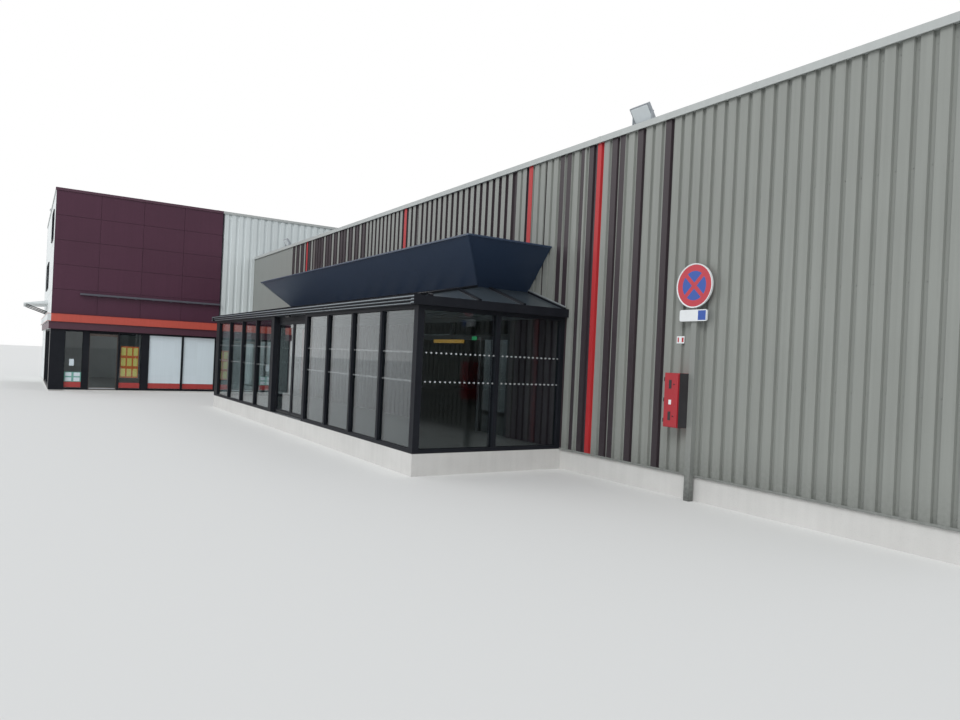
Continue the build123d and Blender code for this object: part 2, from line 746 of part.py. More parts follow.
# Sloping canopy over the end wall's fascia
canopy_right = corner_x - canopy_offset
with BuildPart() as canopy:
    with BuildSketch(Plane.YZ.offset(canopy_right - canopy_length)):
        with BuildLine():
            Polyline((wing_front_y, canopy_level + canopy_rise),
                     (wing_front_y - canopy_reach, canopy_level),
                     (wing_front_y - canopy_reach, canopy_level - canopy_thickness),
                     (wing_front_y, canopy_level + canopy_rise - canopy_thickness - canopy_root_drop),
                     close=True)
        make_face()
    extrude(amount=canopy_length)
save(canopy, "end_canopy")

# Light rail over the wing's sign zone
with BuildPart() as light_rail:
    block(corner_x, corner_x + rail_reach, wing_front_y + rail_offset,
          wing_front_y + rail_offset + rail_length, rail_level, rail_level + rail_height)
save(light_rail, "wing_light_rail")

# Wall cabinet, and the sign post with its disc and plate
cabinet_x = corner_x + cabinet_offset
cabinet_front = hall_front_y - cabinet_depth
with BuildPart() as cabinet:
    block(cabinet_x, cabinet_x + cabinet_width, cabinet_front, hall_front_y,
          cabinet_level, cabinet_level + cabinet_height)
    block(cabinet_x + cabinet_door_margin, cabinet_x + cabinet_width - cabinet_door_margin,
          cabinet_front - cabinet_door_thickness, cabinet_front,
          cabinet_level + cabinet_door_margin,
          cabinet_level + cabinet_height - cabinet_door_margin)
save(cabinet, "wall_cabinet")

sign_post_x = corner_x + post_offset
sign_post_y = hall_front_y - sign_post_depth
sign_post_top = sign_disc_level + sign_disc_radius / 2
with BuildPart() as sign_post:
    block(sign_post_x, sign_post_x + sign_post_width, sign_post_y, hall_front_y,
          0, sign_post_top)
save(sign_post, "sign_post")

disc_x = sign_post_x + sign_post_width / 2
with BuildPart() as sign_disc:
    with BuildSketch(Plane(origin=(disc_x, sign_post_y, sign_disc_level), z_dir=(0, -1, 0))):
        Circle(sign_disc_radius)
    extrude(amount=sign_disc_thickness)
save(sign_disc, "sign_disc")

plate_middle = sign_disc_level - sign_disc_radius - sign_plate_gap - sign_plate_height / 2
with BuildPart() as sign_plate:
    with BuildSketch(Plane(origin=(disc_x, sign_post_y, plate_middle), x_dir=(1, 0, 0),
                           z_dir=(0, -1, 0))):
        RectangleRounded(sign_plate_width, sign_plate_height, sign_plate_corner)
    extrude(amount=sign_disc_thickness)
save(sign_plate, "sign_plate")

# Floodlights on the parapets
floodlights = {
    "floodlight_left": (corner_x + floodlight_left_offset, hall_front_y, hall_height),
    "floodlight_right": (corner_x + floodlight_right_offset, hall_front_y, hall_height),
    "floodlight_wing": (corner_x - floodlight_wing_offset, wing_front_y, wing_height),
}
for name, (light_x, light_y, light_z) in floodlights.items():
    pivot_y = light_y + floodlight_setback
    pivot_z = light_z + floodlight_lift
    bar_z = light_z + floodlight_foot_thickness
    arm_y0 = pivot_y - floodlight_arm / 2
    arm_y1 = pivot_y + floodlight_arm / 2
    head_left = light_x - floodlight_width / 2
    head_right = light_x + floodlight_width / 2
    with BuildPart() as floodlight:
        block(light_x - floodlight_foot / 2, light_x + floodlight_foot / 2,
              light_y, light_y + floodlight_foot, light_z, bar_z)
        block(head_left, head_right, arm_y0, arm_y1, bar_z, bar_z + floodlight_arm_thickness)
        for arm_x in (head_left - floodlight_arm_thickness, head_right):
            block(arm_x, arm_x + floodlight_arm_thickness, arm_y0, arm_y1,
                  bar_z, pivot_z + floodlight_arm / 2)
        with Locations(Location((light_x, pivot_y, pivot_z), (-floodlight_tilt, 0, 0))):
            Box(floodlight_width, floodlight_length, floodlight_height)
    save(floodlight, name)
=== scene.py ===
"""Looks of a supermarket building: a ribbed hall, a glazed vestibule and a taller shop wing.

Everything is in metres in the building's own frame: the origin is on the ground under its middle, +X
runs along the hall's front wall, +Y into the building and +Z up.
"""
import logging
import math
from dataclasses import dataclass
from enum import Enum
from functools import reduce
from typing import Any, Callable, Iterable, Optional, Sequence, Union

import bmesh
import bpy
from mathutils import Matrix, Vector


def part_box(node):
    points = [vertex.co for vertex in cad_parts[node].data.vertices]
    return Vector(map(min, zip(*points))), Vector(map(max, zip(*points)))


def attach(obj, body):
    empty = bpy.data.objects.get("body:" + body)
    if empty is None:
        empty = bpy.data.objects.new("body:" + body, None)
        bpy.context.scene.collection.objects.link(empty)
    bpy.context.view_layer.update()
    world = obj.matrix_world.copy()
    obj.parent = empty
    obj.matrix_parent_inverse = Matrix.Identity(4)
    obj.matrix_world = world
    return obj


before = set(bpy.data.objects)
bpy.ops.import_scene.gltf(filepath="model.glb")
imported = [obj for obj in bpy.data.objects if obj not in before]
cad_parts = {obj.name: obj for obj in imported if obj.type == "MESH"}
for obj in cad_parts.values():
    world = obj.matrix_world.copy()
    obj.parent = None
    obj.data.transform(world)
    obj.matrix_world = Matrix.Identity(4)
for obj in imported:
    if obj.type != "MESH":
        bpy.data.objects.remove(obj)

log = logging.getLogger("supermarket")

Colour = tuple[float, float, float, float]
Pair = tuple[float, float]
Triple = tuple[float, float, float]
Row = tuple[float, ...]
Number = Union[float, "Signal"]
Point = Sequence[float]
Socket = bpy.types.NodeSocket

BUILDING = "building"
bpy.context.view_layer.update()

# A sheet whose splashes start at NO_SPLASH stays clean, and a panel WHOLE metres long has no joint.
NO_SPLASH = -9.0
WHOLE = 40.0
PLINTH_TOP = 0.37

# Bevels of thin plates and trims, and the gap between a trim and what lies under it.
PLATE_EASE = 0.0015
FINE_EASE = 0.002
EASE = 0.003
WIDE_EASE = 0.004
SKIN = 0.001


def paint(*channels: int) -> Colour:
    """Turn a colour as written on a colour card into the linear colour that a shader needs.

    Args:
        channels: Red, green and blue from 0 to 255.

    Returns:
        The linear colour with an alpha of 1.
    """
    shares = (channel / 255 for channel in channels)
    linear = (share / 12.92 if share <= 0.04045 else ((share + 0.055) / 1.055) ** 2.4 for share in shares)
    return (*linear, 1.0)


class Paint(Enum):
    """The paints, metals and linings of the building."""

    BEIGE = paint(139, 142, 137)
    BEIGE_SMOOTH = paint(139, 142, 138)
    PLANK_DARK = paint(52, 43, 48)
    PLANK_FAINT = paint(104, 100, 98)
    PLANK_RED = paint(180, 42, 46)
    PORCH_BROWN = paint(62, 50, 55)
    CAPPING = paint(178, 182, 180)
    LINING = paint(104, 103, 99)
    CEILING = paint(64, 66, 70)
    SLAT = paint(104, 106, 108)
    NAVY = paint(48, 64, 88)
    FRAME = paint(25, 27, 33)
    ROOF_SHEET = paint(62, 70, 76)
    FLASHING = paint(142, 148, 150)
    # Pale paint of the gutter beads: a painted highlight on the gutter's steps.
    GUTTER_HIGHLIGHT = paint(132, 142, 148)
    ALUMINIUM = paint(176, 180, 183)
    AUBERGINE = paint(76, 42, 60)
    STRIP_AUBERGINE = paint(74, 38, 54)
    ORANGE = paint(190, 80, 66)
    STRIP_RED = paint(172, 60, 58)
    WHITE = paint(222, 227, 227)
    RIB_WHITE = paint(214, 221, 221)
    BRONZE = paint(92, 82, 76)
    CONCRETE = paint(208, 207, 204)
    TILE = paint(112, 110, 107)
    MEMBRANE = paint(132, 134, 135)
    RAIL = paint(78, 78, 88)
    LAMP = paint(156, 161, 166)
    CABINET = paint(168, 30, 42)
    # Black of the latches; also the painted shade on the cabinet's right side.
    CABINET_BLACK_AND_SHADE = paint(44, 40, 44)
    SIGN_BLUE = paint(44, 84, 168)
    SIGN_RED = paint(190, 52, 66)
    SIGN_WHITE = paint(232, 235, 236)
    RUBBER = paint(24, 24, 26)
    FILM = paint(214, 226, 232)
    CARD_ORANGE = paint(224, 110, 52)
    CARD_YELLOW = paint(240, 222, 124)
    CARD_GREEN = paint(112, 168, 156)
    HEADER_YELLOW = paint(206, 158, 66)
    EXIT_GREEN = paint(52, 176, 110)
    LAMP_LENS = paint(214, 220, 222)
    STUDIO = paint(224, 224, 222)


def math_node(operation: str, reflected: bool = False) -> Callable[..., "Signal"]:
    """Make a method of Signal that adds one Math node.

    Args:
        operation: The node's operation.
        reflected: Whether the other value comes first.

    Returns:
        The method.
    """
    def join(signal: "Signal", other: Number = 0.0) -> "Signal":
        """Add the node.

        Args:
            signal: The signal whose method this is.
            other: The other value, if the operation takes one.

        Returns:
            The result.
        """
        values = (other, signal) if reflected else (signal, other)
        node = signal.graph.node("ShaderNodeMath", {"operation": operation}, dict(enumerate(values)))
        return Signal(signal.graph, node.outputs[0])

    return join


class Signal:
    """A number that varies over a surface, with Python's own arithmetic."""

    def __init__(self, graph: "Graph", socket: Socket) -> None:
        """Wrap an output socket of a graph."""
        self.graph = graph
        self.socket = socket

    __add__ = math_node("ADD")
    __radd__ = math_node("ADD", reflected=True)
    __sub__ = math_node("SUBTRACT")
    __rsub__ = math_node("SUBTRACT", reflected=True)
    __mul__ = math_node("MULTIPLY")
    __rmul__ = math_node("MULTIPLY", reflected=True)
    __truediv__ = math_node("DIVIDE")
    __pow__ = math_node("POWER")
    __mod__ = math_node("FLOORED_MODULO")
    __lt__ = math_node("LESS_THAN")
    __gt__ = math_node("GREATER_THAN")
    __abs__ = math_node("ABSOLUTE")
    floor = math_node("FLOOR")
    highest = math_node("MAXIMUM")

    def between(self, low: float, high: float) -> "Signal":
        """Give 1 where the value lies between two limits."""
        return (self > low) * (self < high)


class Graph:
    """The node tree of one material or of the surroundings."""

    def __init__(self, tree: bpy.types.NodeTree) -> None:
        """Empty the tree."""
        self.tree = tree
        self.tree.nodes.clear()

    def node(self, kind: str, settings: Optional[dict[str, Any]] = None,
             inputs: Optional[dict[Union[str, int], Any]] = None) -> bpy.types.Node:
        """Add a node, with its settings first and then the values or links of its sockets.

        Args:
            kind: The node's type.
            settings: Its settings, such as an operation, or a ramp's stops.
            inputs: A value, a signal or an output socket for each input that is set.

        Returns:
            The node.
        """
        node = self.tree.nodes.new(kind)
        for key, value in (settings or {}).items():
            if key == "stops":
                self._set_stops(node.color_ramp, value)
            else:
                setattr(node, key, value)
        for key, value in (inputs or {}).items():
            if isinstance(value, Signal):
                value = value.socket
            if isinstance(value, Socket):
                self.tree.links.new(value, node.inputs[key])
            else:
                node.inputs[key].default_value = value
        return node

    @staticmethod
    def _set_stops(ramp: bpy.types.ColorRamp, stops: Sequence[tuple[float, Colour]]) -> None:
        """Give a ramp its stops, each colour held up to the next stop.

        Args:
            ramp: The ramp.
            stops: The place and colour of each stop.
        """
        ramp.interpolation = "CONSTANT"
        while len(ramp.elements) > 1:
            ramp.elements.remove(ramp.elements[-1])
        ramp.elements[0].position, ramp.elements[0].color = stops[0]
        for place, colour in stops[1:]:
            ramp.elements.new(place).color = colour

    def position(self) -> Socket:
        """Give the Object coordinates."""
        return self.node("ShaderNodeTexCoord").outputs["Object"]

    def place(self) -> tuple[Signal, ...]:
        """Give the place on the building: X, Y and Z in metres."""
        split = self.node("ShaderNodeSeparateXYZ", inputs={0: self.position()})
        return tuple(Signal(self, output) for output in split.outputs)

    def noise(self, size: Union[float, Point], detail: float) -> Signal:
        """Add a cloudy noise.

        Args:
            size: The length of its patches, the same all ways or one each along X, Y and Z.
            detail: How many finer layers it has.

        Returns:
            The noise, about 0.5 on the whole.
        """
        lengths = size if isinstance(size, tuple) else (size,) * 3
        mapped = self.node("ShaderNodeMapping", inputs={
            "Vector": self.position(), "Scale": tuple(1 / length for length in lengths)})
        node = self.node("ShaderNodeTexNoise", {"normalize": True}, {
            "Vector": mapped.outputs[0], "Scale": 1.0, "Detail": detail, "Roughness": 0.55})
        return Signal(self, node.outputs[0])

    def chance(self, *cells: Signal) -> Signal:
        """Give each cell of a grid its own random number.

        Args:
            cells: The whole numbers that name the cell, one to three.

        Returns:
            A number between 0 and 1.
        """
        vector = self.node("ShaderNodeCombineXYZ", inputs=dict(enumerate(cells))).outputs[0]
        node = self.node("ShaderNodeTexWhiteNoise", {"noise_dimensions": "3D"}, {"Vector": vector})
        return Signal(self, node.outputs["Value"])

    def mix(self, factor: Number, first: Any, second: Any, blend: str = "MIX") -> Socket:
        """Mix two colours.

        Args:
            factor: The share of the second.
            first: The first colour.
            second: The second colour.
            blend: How they mix.

        Returns:
            The mixed colour.
        """
        node = self.node("ShaderNodeMix", {"data_type": "RGBA", "blend_type": blend},
                         {0: factor, 6: first, 7: second})
        return node.outputs[2]

    def shade(self, colour: Any, amount: Signal) -> Socket:
        """Multiply a colour by a number that varies."""
        grey = self.node("ShaderNodeCombineColor", inputs={0: amount, 1: amount, 2: amount})
        return self.mix(1.0, colour, grey.outputs[0], "MULTIPLY")

    def surface(self, **inputs: Any) -> Socket:
        """Add a Principled shader, with its sockets by name and an underscore for each space."""
        named = {key.replace("_", " "): value for key, value in inputs.items()}
        return self.node("ShaderNodeBsdfPrincipled", inputs=named).outputs[0]

    def coat(self, colour: Any, roughness: Number, relief: Signal, depth: float, **others: Any) -> Socket:
        """Add a Principled shader with a relief.

        Args:
            colour: Its colour.
            roughness: Its roughness.
            relief: The height of the surface, from 0 to 1.
            depth: How many metres 1 stands for.
            others: Its other sockets, named as for surface.

        Returns:
            The shader's output.
        """
        inputs = {"Height": relief, "Distance": depth, "Strength": 1.0}
        bump = self.node("ShaderNodeBump", inputs=inputs).outputs[0]
        return self.surface(Base_Color=colour, Roughness=roughness, Normal=bump, **others)

    def blend(self, factor: Number, first: Socket, second: Socket) -> Socket:
        """Mix two shaders by the share of the second."""
        return self.node("ShaderNodeMixShader", inputs={0: factor, 1: first, 2: second}).outputs[0]

    def close(self, shader: Socket, output: str = "ShaderNodeOutputMaterial") -> None:
        """Send a shader to the tree's output node of a type."""
        self.node(output, inputs={0: shader})


@dataclass(frozen=True)
class Finish:
    """A surface finish, made into a material once.

    Attributes:
        name: The material's name.
    """

    name: str

    def material(self) -> bpy.types.Material:
        """Give the material, and make it on first use.

        Returns:
            The material.
        """
        made = bpy.data.materials.get(self.name)
        if made is None:
            made = bpy.data.materials.new(self.name)
            made.use_nodes = True
            graph = Graph(made.node_tree)
            graph.close(self.shader(graph))
        return made

    def shader(self, graph: Graph) -> Socket:
        """Build the shader in a graph and give its output."""
        raise NotImplementedError


def weathered(graph: Graph, colour: Any, foot: float, strength: float = 1.0) -> Socket:
    """Lay rain streaks, faded patches and splashed dirt near the ground over a paint.

    Args:
        graph: The graph.
        colour: The clean paint.
        foot: The level where the sheet starts.
        strength: How much the weather shows.

    Returns:
        The weathered colour.
    """
    streak, fade, dirt = 0.26 * strength, 0.20 * strength, 0.45 * strength
    streaks = graph.noise((0.07, 0.07, 2.4), 4.0)
    patches = graph.noise((2.6, 2.6, 1.7), 2.0)
    speckle = graph.noise(0.05, 3.0)
    splash = (1 - (graph.place()[2] - foot) * 1.6).highest(0.0) ** 2.0
    tone = 1.0 + (streaks - 0.5) * streak + (patches - 0.5) * fade - splash * speckle * dirt
    return graph.shade(colour, tone)


class Plank(Enum):
    """The paint of a rib or a band, by its letter in a pattern."""

    L = Paint.BEIGE
    D = Paint.PLANK_DARK
    R = Paint.PLANK_RED
    F = Paint.PLANK_FAINT

    @classmethod
    def colour(cls, letter: str) -> Colour:
        """Give the colour that a letter stands for."""
        return cls[letter].value.value


@dataclass(frozen=True)
class WallSheet(Finish):
    """Ribbed sheet of the hall's front wall, painted in upright stripes.

    Attributes:
        lining: Where the lining of the inner side starts along Y.
        base: The level of the sheet's foot.
        porch: The two ends along X of the stretch inside the vestibule.
        ceiling: The level of the vestibule's ceiling.
    """

    lining: float
    base: float
    porch: Pair
    ceiling: float

    def stripes(self, graph: Graph) -> Socket:
        """Give the clean paint of the outer side."""
        raise NotImplementedError

    def shader(self, graph: Graph) -> Socket:
        """Lay the weather, the porch's paint, the lining and the grain over the stripes.

        Args:
            graph: The graph.

        Returns:
            The shader's output.
        """
        x, y, z = graph.place()
        sheet = x.floor()
        toned = graph.shade(self.stripes(graph), graph.chance(sheet, sheet) * 0.05 + 0.975)
        in_porch = x.between(*self.porch) * (z < self.ceiling)
        colour = graph.mix(in_porch, weathered(graph, toned, self.base), Paint.PORCH_BROWN.value)
        colour = graph.mix(y > self.lining, colour, Paint.LINING.value)
        grain = graph.noise(0.006, 2.0)
        waves = graph.noise((0.5, 0.5, 0.9), 1.0)
        return graph.coat(colour, 0.38 + grain * 0.16, waves * 0.9 + grain * 0.1, 0.006)


@dataclass(frozen=True)
class StripedSheet(WallSheet):
    """Wall sheet whose valleys and rib sides are dark, with a paint for each rib's face.

    Attributes:
        start: Where the pattern starts along X.
        pitch: The distance between ribs.
        crest: The width of a rib's face.
        ribs: A letter for each rib.
    """

    start: float
    pitch: float
    crest: float
    ribs: str

    def stripes(self, graph: Graph) -> Socket:
        """Paint the face of each rib by its letter.

        Args:
            graph: The graph.

        Returns:
            The colour.
        """
        count = len(self.ribs)
        along = (graph.place()[0] - self.start) / self.pitch
        stops = [(index / count, Plank.colour(letter)) for index, letter in enumerate(self.ribs)
                 if index == 0 or letter != self.ribs[index - 1]]
        middle = (along.floor() + 0.5) / count
        faces = graph.node("ShaderNodeValToRGB", {"stops": stops}, {0: middle}).outputs[0]
        on_face = abs(along % 1.0 - 0.5) < self.crest / self.pitch / 2
        return graph.mix(on_face, Paint.PLANK_DARK.value, faces)


@dataclass(frozen=True)
class BandedSheet(WallSheet):
    """Wall sheet with bands of paint of different widths, and plain paint after them.

    Attributes:
        start: Where the first band starts along X.
        bands: Each band's letter and the place along X where it ends.
    """

    start: float
    bands: tuple[tuple[str, float], ...]

    def stripes(self, graph: Graph) -> Socket:
        """Paint the bands by their places.

        Args:
            graph: The graph.

        Returns:
            The colour.
        """
        length = self.bands[-1][1] + 1.0 - self.start
        letters, ends = zip(*self.bands)
        stops = [((edge - self.start) / length, Plank.colour(letter))
                 for edge, letter in zip((self.start, *ends), (*letters, "L"))]
        share = (graph.place()[0] - self.start) / length
        return graph.node("ShaderNodeValToRGB", {"stops": stops}, {0: share}).outputs[0]


@dataclass(frozen=True)
class PaintedSheet(Finish):
    """Painted metal sheet in large panels.

    Attributes:
        colour: The paint.
        base: The level where splashes start.
        panel: The panels' size along X, Y and Z, each with its own tone.
        joint: The width of the joint lines, or 0 for none.
        joint_origin: A corner of the joint grid.
        roughness: The paint's roughness.
        strength: How much the weather shows.
        shine: How strongly it mirrors, 0.5 as paint does.
    """

    colour: Paint
    base: float = 0.0
    panel: Triple = (1.0, 1.0, WHOLE)
    joint: float = 0.0
    joint_origin: Triple = (0.0, 0.0, 0.0)
    roughness: float = 0.4
    strength: float = 1.0
    shine: float = 0.5

    def clean(self, graph: Graph) -> Any:
        """Give the clean paint."""
        return self.colour.value

    def shader(self, graph: Graph) -> Socket:
        """Give each panel its tone, then the joints, the weather and the grain.

        Args:
            graph: The graph.

        Returns:
            The shader's output.
        """
        cells = [(axis - origin) / length
                 for axis, length, origin in zip(graph.place(), self.panel, self.joint_origin)]
        tone = graph.chance(*(cell.floor() for cell in cells)) * 0.06 + 0.97
        grain = graph.noise(0.006, 2.0)
        relief = graph.noise(0.7, 1.0) * 0.8 + grain * 0.2
        if self.joint:
            lines = reduce(Signal.highest, (abs((cell + 0.5) % 1.0 - 0.5) < self.joint / length / 2
                                            for cell, length in zip(cells, self.panel)))
            tone = tone * (1 - lines * 0.55)
            relief = relief - lines
        colour = weathered(graph, graph.shade(self.clean(graph), tone), self.base, self.strength)
        return graph.coat(colour, self.roughness - 0.06 + grain * 0.14, relief, 0.005,
                          Specular_IOR_Level=self.shine)


@dataclass(frozen=True)
class EndWallSheet(PaintedSheet):
    """Pale panels with painted shade on their openings' reveals and inner side, and painted shade over the
    shopfront corner below.

    Attributes:
        shaded_edges_from: Where the painted shade of the openings' reveals and the inner side starts along X
            and Y.
        shaded_corner_from: Where the painted shade of the shopfront corner starts along X.
        shaded_corner_top: The level up to which it reaches.
    """

    shaded_edges_from: Pair = (0.0, 0.0)
    shaded_corner_from: float = 0.0
    shaded_corner_top: float = 0.0

    def clean(self, graph: Graph) -> Any:
        """Paint shade on the openings' reveals, the inner side and the shopfront corner.

        Args:
            graph: The graph.

        Returns:
            The colour.
        """
        x, y, z = graph.place()
        # Painted shade in the frame's dark paint: the reveals and inner side behind the face, and the corner
        # under the fascia.
        edges = (x > self.shaded_edges_from[0]) * (y > self.shaded_edges_from[1])
        corner = (x > self.shaded_corner_from) * (z < self.shaded_corner_top)
        return graph.mix(edges.highest(corner), self.colour.value, Paint.FRAME.value)


@dataclass(frozen=True)
class PowderCoat(Finish):
    """Fine-grained coat on extrusions and fittings, dusty and a little worn.

    Attributes:
        colour: The coat.
        roughness: Its roughness.
        metallic: How metallic it is.
        dust: How much pale dust lies on it.
        shine: How strongly it mirrors, 0.5 as paint does.
    """

    colour: Paint
    roughness: float = 0.42
    metallic: float = 0.0
    dust: float = 0.10
    shine: float = 0.5

    def shader(self, graph: Graph) -> Socket:
        """Mix dust into the coat and give it its grain.

        Args:
            graph: The graph.

        Returns:
            The shader's output.
        """
        grain = graph.noise(0.003, 2.0)
        cloud = graph.noise((0.35, 0.35, 0.6), 4.0)
        scratches = graph.noise((0.02, 0.02, 0.5), 2.0)
        dusty = (cloud * 1.4 - 0.35).highest(0.0) * self.dust
        tone = 1.0 + (scratches - 0.5) * 0.16 + (grain - 0.5) * 0.08
        colour = graph.mix(dusty, graph.shade(self.colour.value, tone), Paint.FLASHING.value)
        return graph.coat(colour, self.roughness - 0.08 + cloud * 0.16, grain, 0.0006,
                          Metallic=self.metallic, Specular_IOR_Level=self.shine)


@dataclass(frozen=True)
class ClearGlass(Finish):
    """Clear pane that reflects more at a flat angle, with rows of warning dots.

    Attributes:
        levels: The heights of the rows of dots.
        pitch: The distance between dots.
        radius: A dot's radius.
        along_x: Whether the pane runs along X, or else along Y.
        shine: How much it mirrors when seen straight on.
        graze: How much more it mirrors at a flat angle.
        tint: What it lets through.
        ink: How strongly the dots cover it.
    """

    levels: Row = ()
    pitch: float = 0.095
    radius: float = 0.017
    along_x: bool = True
    shine: float = 0.04
    graze: float = 0.62
    tint: Colour = (0.77, 0.81, 0.82, 1.0)
    ink: float = 0.8

    def shader(self, graph: Graph) -> Socket:
        """Mix clear and mirrored light by the angle, then lay the dots on.

        Args:
            graph: The graph.

        Returns:
            The shader's output.
        """
        facing = Signal(graph, graph.node("ShaderNodeLayerWeight", inputs={"Blend": 0.5}).outputs[1])
        clear = graph.node("ShaderNodeBsdfTransparent", inputs={0: self.tint}).outputs[0]
        smears = graph.noise((0.6, 0.6, 1.4), 2.0)
        mirror = graph.surface(Base_Color=(0.92, 0.95, 0.96, 1.0), Metallic=1.0,
                               Roughness=0.012 + smears * 0.014)
        pane = graph.blend(self.shine + facing ** 4.0 * self.graze, clear, mirror)
        if not self.levels:
            return pane
        x, y, z = graph.place()
        across = ((x if self.along_x else y) / self.pitch % 1.0 - 0.5) * self.pitch
        dots = reduce(Signal.highest, (across * across + (z - level) ** 2.0 < self.radius ** 2
                                       for level in self.levels))
        frosted = graph.surface(Base_Color=Paint.SIGN_WHITE.value, Roughness=0.6)
        return graph.blend(dots * self.ink, pane, frosted)


@dataclass(frozen=True)
class Slab(Finish):
    """Concrete slab: cast sides and a floor in square tiles.

    Attributes:
        top: The level above which the floor's tiles show.
        tile: The side of a tile.
    """

    top: float
    tile: float = 0.6

    def shader(self, graph: Graph) -> Socket:
        """Cast the sides, tile the top and stain both.

        Args:
            graph: The graph.

        Returns:
            The shader's output.
        """
        x, y, z = graph.place()
        cloud = graph.noise((0.9, 0.9, 0.5), 5.0)
        pores = graph.noise(0.012, 2.0)
        streaks = graph.noise((0.12, 0.12, 1.5), 3.0)
        tone = 0.86 + cloud * 0.22 + (streaks - 0.5) * 0.14 - (pores < 0.36) * 0.08
        joints = reduce(Signal.highest, (abs(axis / self.tile % 1.0 - 0.5) > 0.494 for axis in (x, y)))
        shade = graph.chance(*((axis / self.tile + 0.5).floor() for axis in (x, y)))
        tiles = graph.shade(Paint.TILE.value, 0.92 + shade * 0.1 - joints * 0.3 + (cloud - 0.5) * 0.1)
        on_top = z > self.top - 0.004
        colour = graph.mix(on_top, graph.shade(Paint.CONCRETE.value, tone), tiles)
        return graph.coat(colour, 0.82 - on_top * 0.42, pores - joints * on_top, 0.002)


@dataclass(frozen=True)
class RoofMembrane(Finish):
    """Roof membrane in long sheets, stained where water stands.

    Attributes:
        width: The width of a sheet.
        top: The deck's upper side, with the ceiling's lining under it.
    """

    width: float
    top: float

    def shader(self, graph: Graph) -> Socket:
        """Tone each sheet, darken the laps and add stains.

        Args:
            graph: The graph.

        Returns:
            The shader's output.
        """
        x, _, z = graph.place()
        step = x / self.width
        lap = abs(step % 1.0 - 0.5) > 0.47
        ponds = graph.noise(3.5, 4.0)
        grit = graph.noise(0.01, 2.0)
        tone = 0.9 + graph.chance(step.floor(), step.floor()) * 0.1 + (ponds - 0.5) * 0.45
        tone = tone - lap * 0.10 - ponds.between(0.56, 0.60) * 0.10 + (grit - 0.5) * 0.2
        colour = graph.mix(z < self.top - 0.01, graph.shade(Paint.MEMBRANE.value, tone),
                           Paint.LINING.value)
        return graph.coat(colour, 0.85, grit * 0.5 + lap * 0.5, 0.003)


@dataclass(frozen=True)
class TwoToneCapping(Finish):
    """Capping that is dark over the dark front wall and pale elsewhere.

    Attributes:
        from_x: Where the dark stretch starts along X.
        to_y: Where it ends along Y.
    """

    from_x: float
    to_y: float

    def shader(self, graph: Graph) -> Socket:
        """Paint both stretches and weather them.

        Args:
            graph: The graph.

        Returns:
            The shader's output.
        """
        x, y, _ = graph.place()
        dark = (x > self.from_x) * (y < self.to_y)
        colour = graph.mix(dark, Paint.CAPPING.value, Paint.AUBERGINE.value)
        grain = graph.noise(0.006, 2.0)
        return graph.coat(weathered(graph, colour, NO_SPLASH, 0.7), 0.34 + grain * 0.14, grain, 0.001)


@dataclass(frozen=True)
class StudioFloor(Finish):
    """Plain pale floor of the studio."""

    def shader(self, graph: Graph) -> Socket:
        """Paint it evenly."""
        return graph.surface(Base_Color=Paint.STUDIO.value, Roughness=0.9)


@dataclass(frozen=True)
class NoStoppingFace(Finish):
    """Printed face of a round sign: a blue field in a red ring with a red cross.

    Attributes:
        centre: The middle of the disc.
        field: The blue field's radius.
        ring: The red ring's outer radius.
        bar: Half the width of a cross bar.
    """

    centre: Triple
    field: float = 0.217
    ring: float = 0.310
    bar: float = 0.031

    def shader(self, graph: Graph) -> Socket:
        """Print ring, field and cross.

        Args:
            graph: The graph.

        Returns:
            The shader's output.
        """
        x, _, z = graph.place()
        dx, dz = x - self.centre[0], z - self.centre[2]
        square = dx * dx + dz * dz
        rise, fall = dx * math.sqrt(0.5), dz * math.sqrt(0.5)
        red = (square > self.field ** 2).highest(abs(rise + fall) < self.bar)
        red = red.highest(abs(rise - fall) < self.bar)
        colour = graph.mix(red, Paint.SIGN_BLUE.value, Paint.SIGN_RED.value)
        colour = graph.mix(square > self.ring ** 2, colour, Paint.SIGN_WHITE.value)
        dirt = graph.noise((0.06, 0.06, 0.2), 4.0)
        return graph.coat(graph.shade(colour, 0.9 + dirt * 0.16), 0.24 + dirt * 0.12, dirt, 0.0008,
                          Coat_Weight=0.3)


@dataclass(frozen=True)
class PlateFace(Finish):
    """White plate with a blue square at its right end.

    Attributes:
        low: The plate's lowest corner.
        high: The plate's highest corner.
        margin: From the square to the edge.
    """

    low: Triple
    high: Triple
    margin: float = 0.014

    def shader(self, graph: Graph) -> Socket:
        """Print the square and let the plate get dirty.

        Args:
            graph: The graph.

        Returns:
            The shader's output.
        """
        x, _, z = graph.place()
        foot, head = self.low[2] + self.margin, self.high[2] - self.margin
        right = self.high[0] - self.margin
        square = x.between(right - (head - foot), right) * z.between(foot, head)
        colour = graph.mix(square, Paint.SIGN_WHITE.value, Paint.SIGN_BLUE.value)
        dirt = graph.noise((0.05, 0.05, 0.12), 4.0)
        return graph.coat(graph.shade(colour, 0.9 + dirt * 0.14), 0.26 + dirt * 0.1, dirt, 0.0008,
                          Coat_Weight=0.3)


@dataclass(frozen=True)
class Enamel(Finish):
    """Glossy enamel with faded patches and small chips.

    Attributes:
        colour: The enamel.
    """

    colour: Paint

    def shader(self, graph: Graph) -> Socket:
        """Fade and chip the enamel.

        Args:
            graph: The graph.

        Returns:
            The shader's output.
        """
        fade = graph.noise((0.3, 0.3, 0.5), 3.0)
        chips = graph.noise(0.02, 3.0) > 0.70
        colour = graph.shade(self.colour.value, 0.88 + fade * 0.24)
        colour = graph.mix(chips * 0.7, colour, Paint.PLANK_FAINT.value)
        return graph.coat(colour, 0.25 + fade * 0.1, graph.noise(0.004, 1.0), 0.0004, Coat_Weight=0.35)


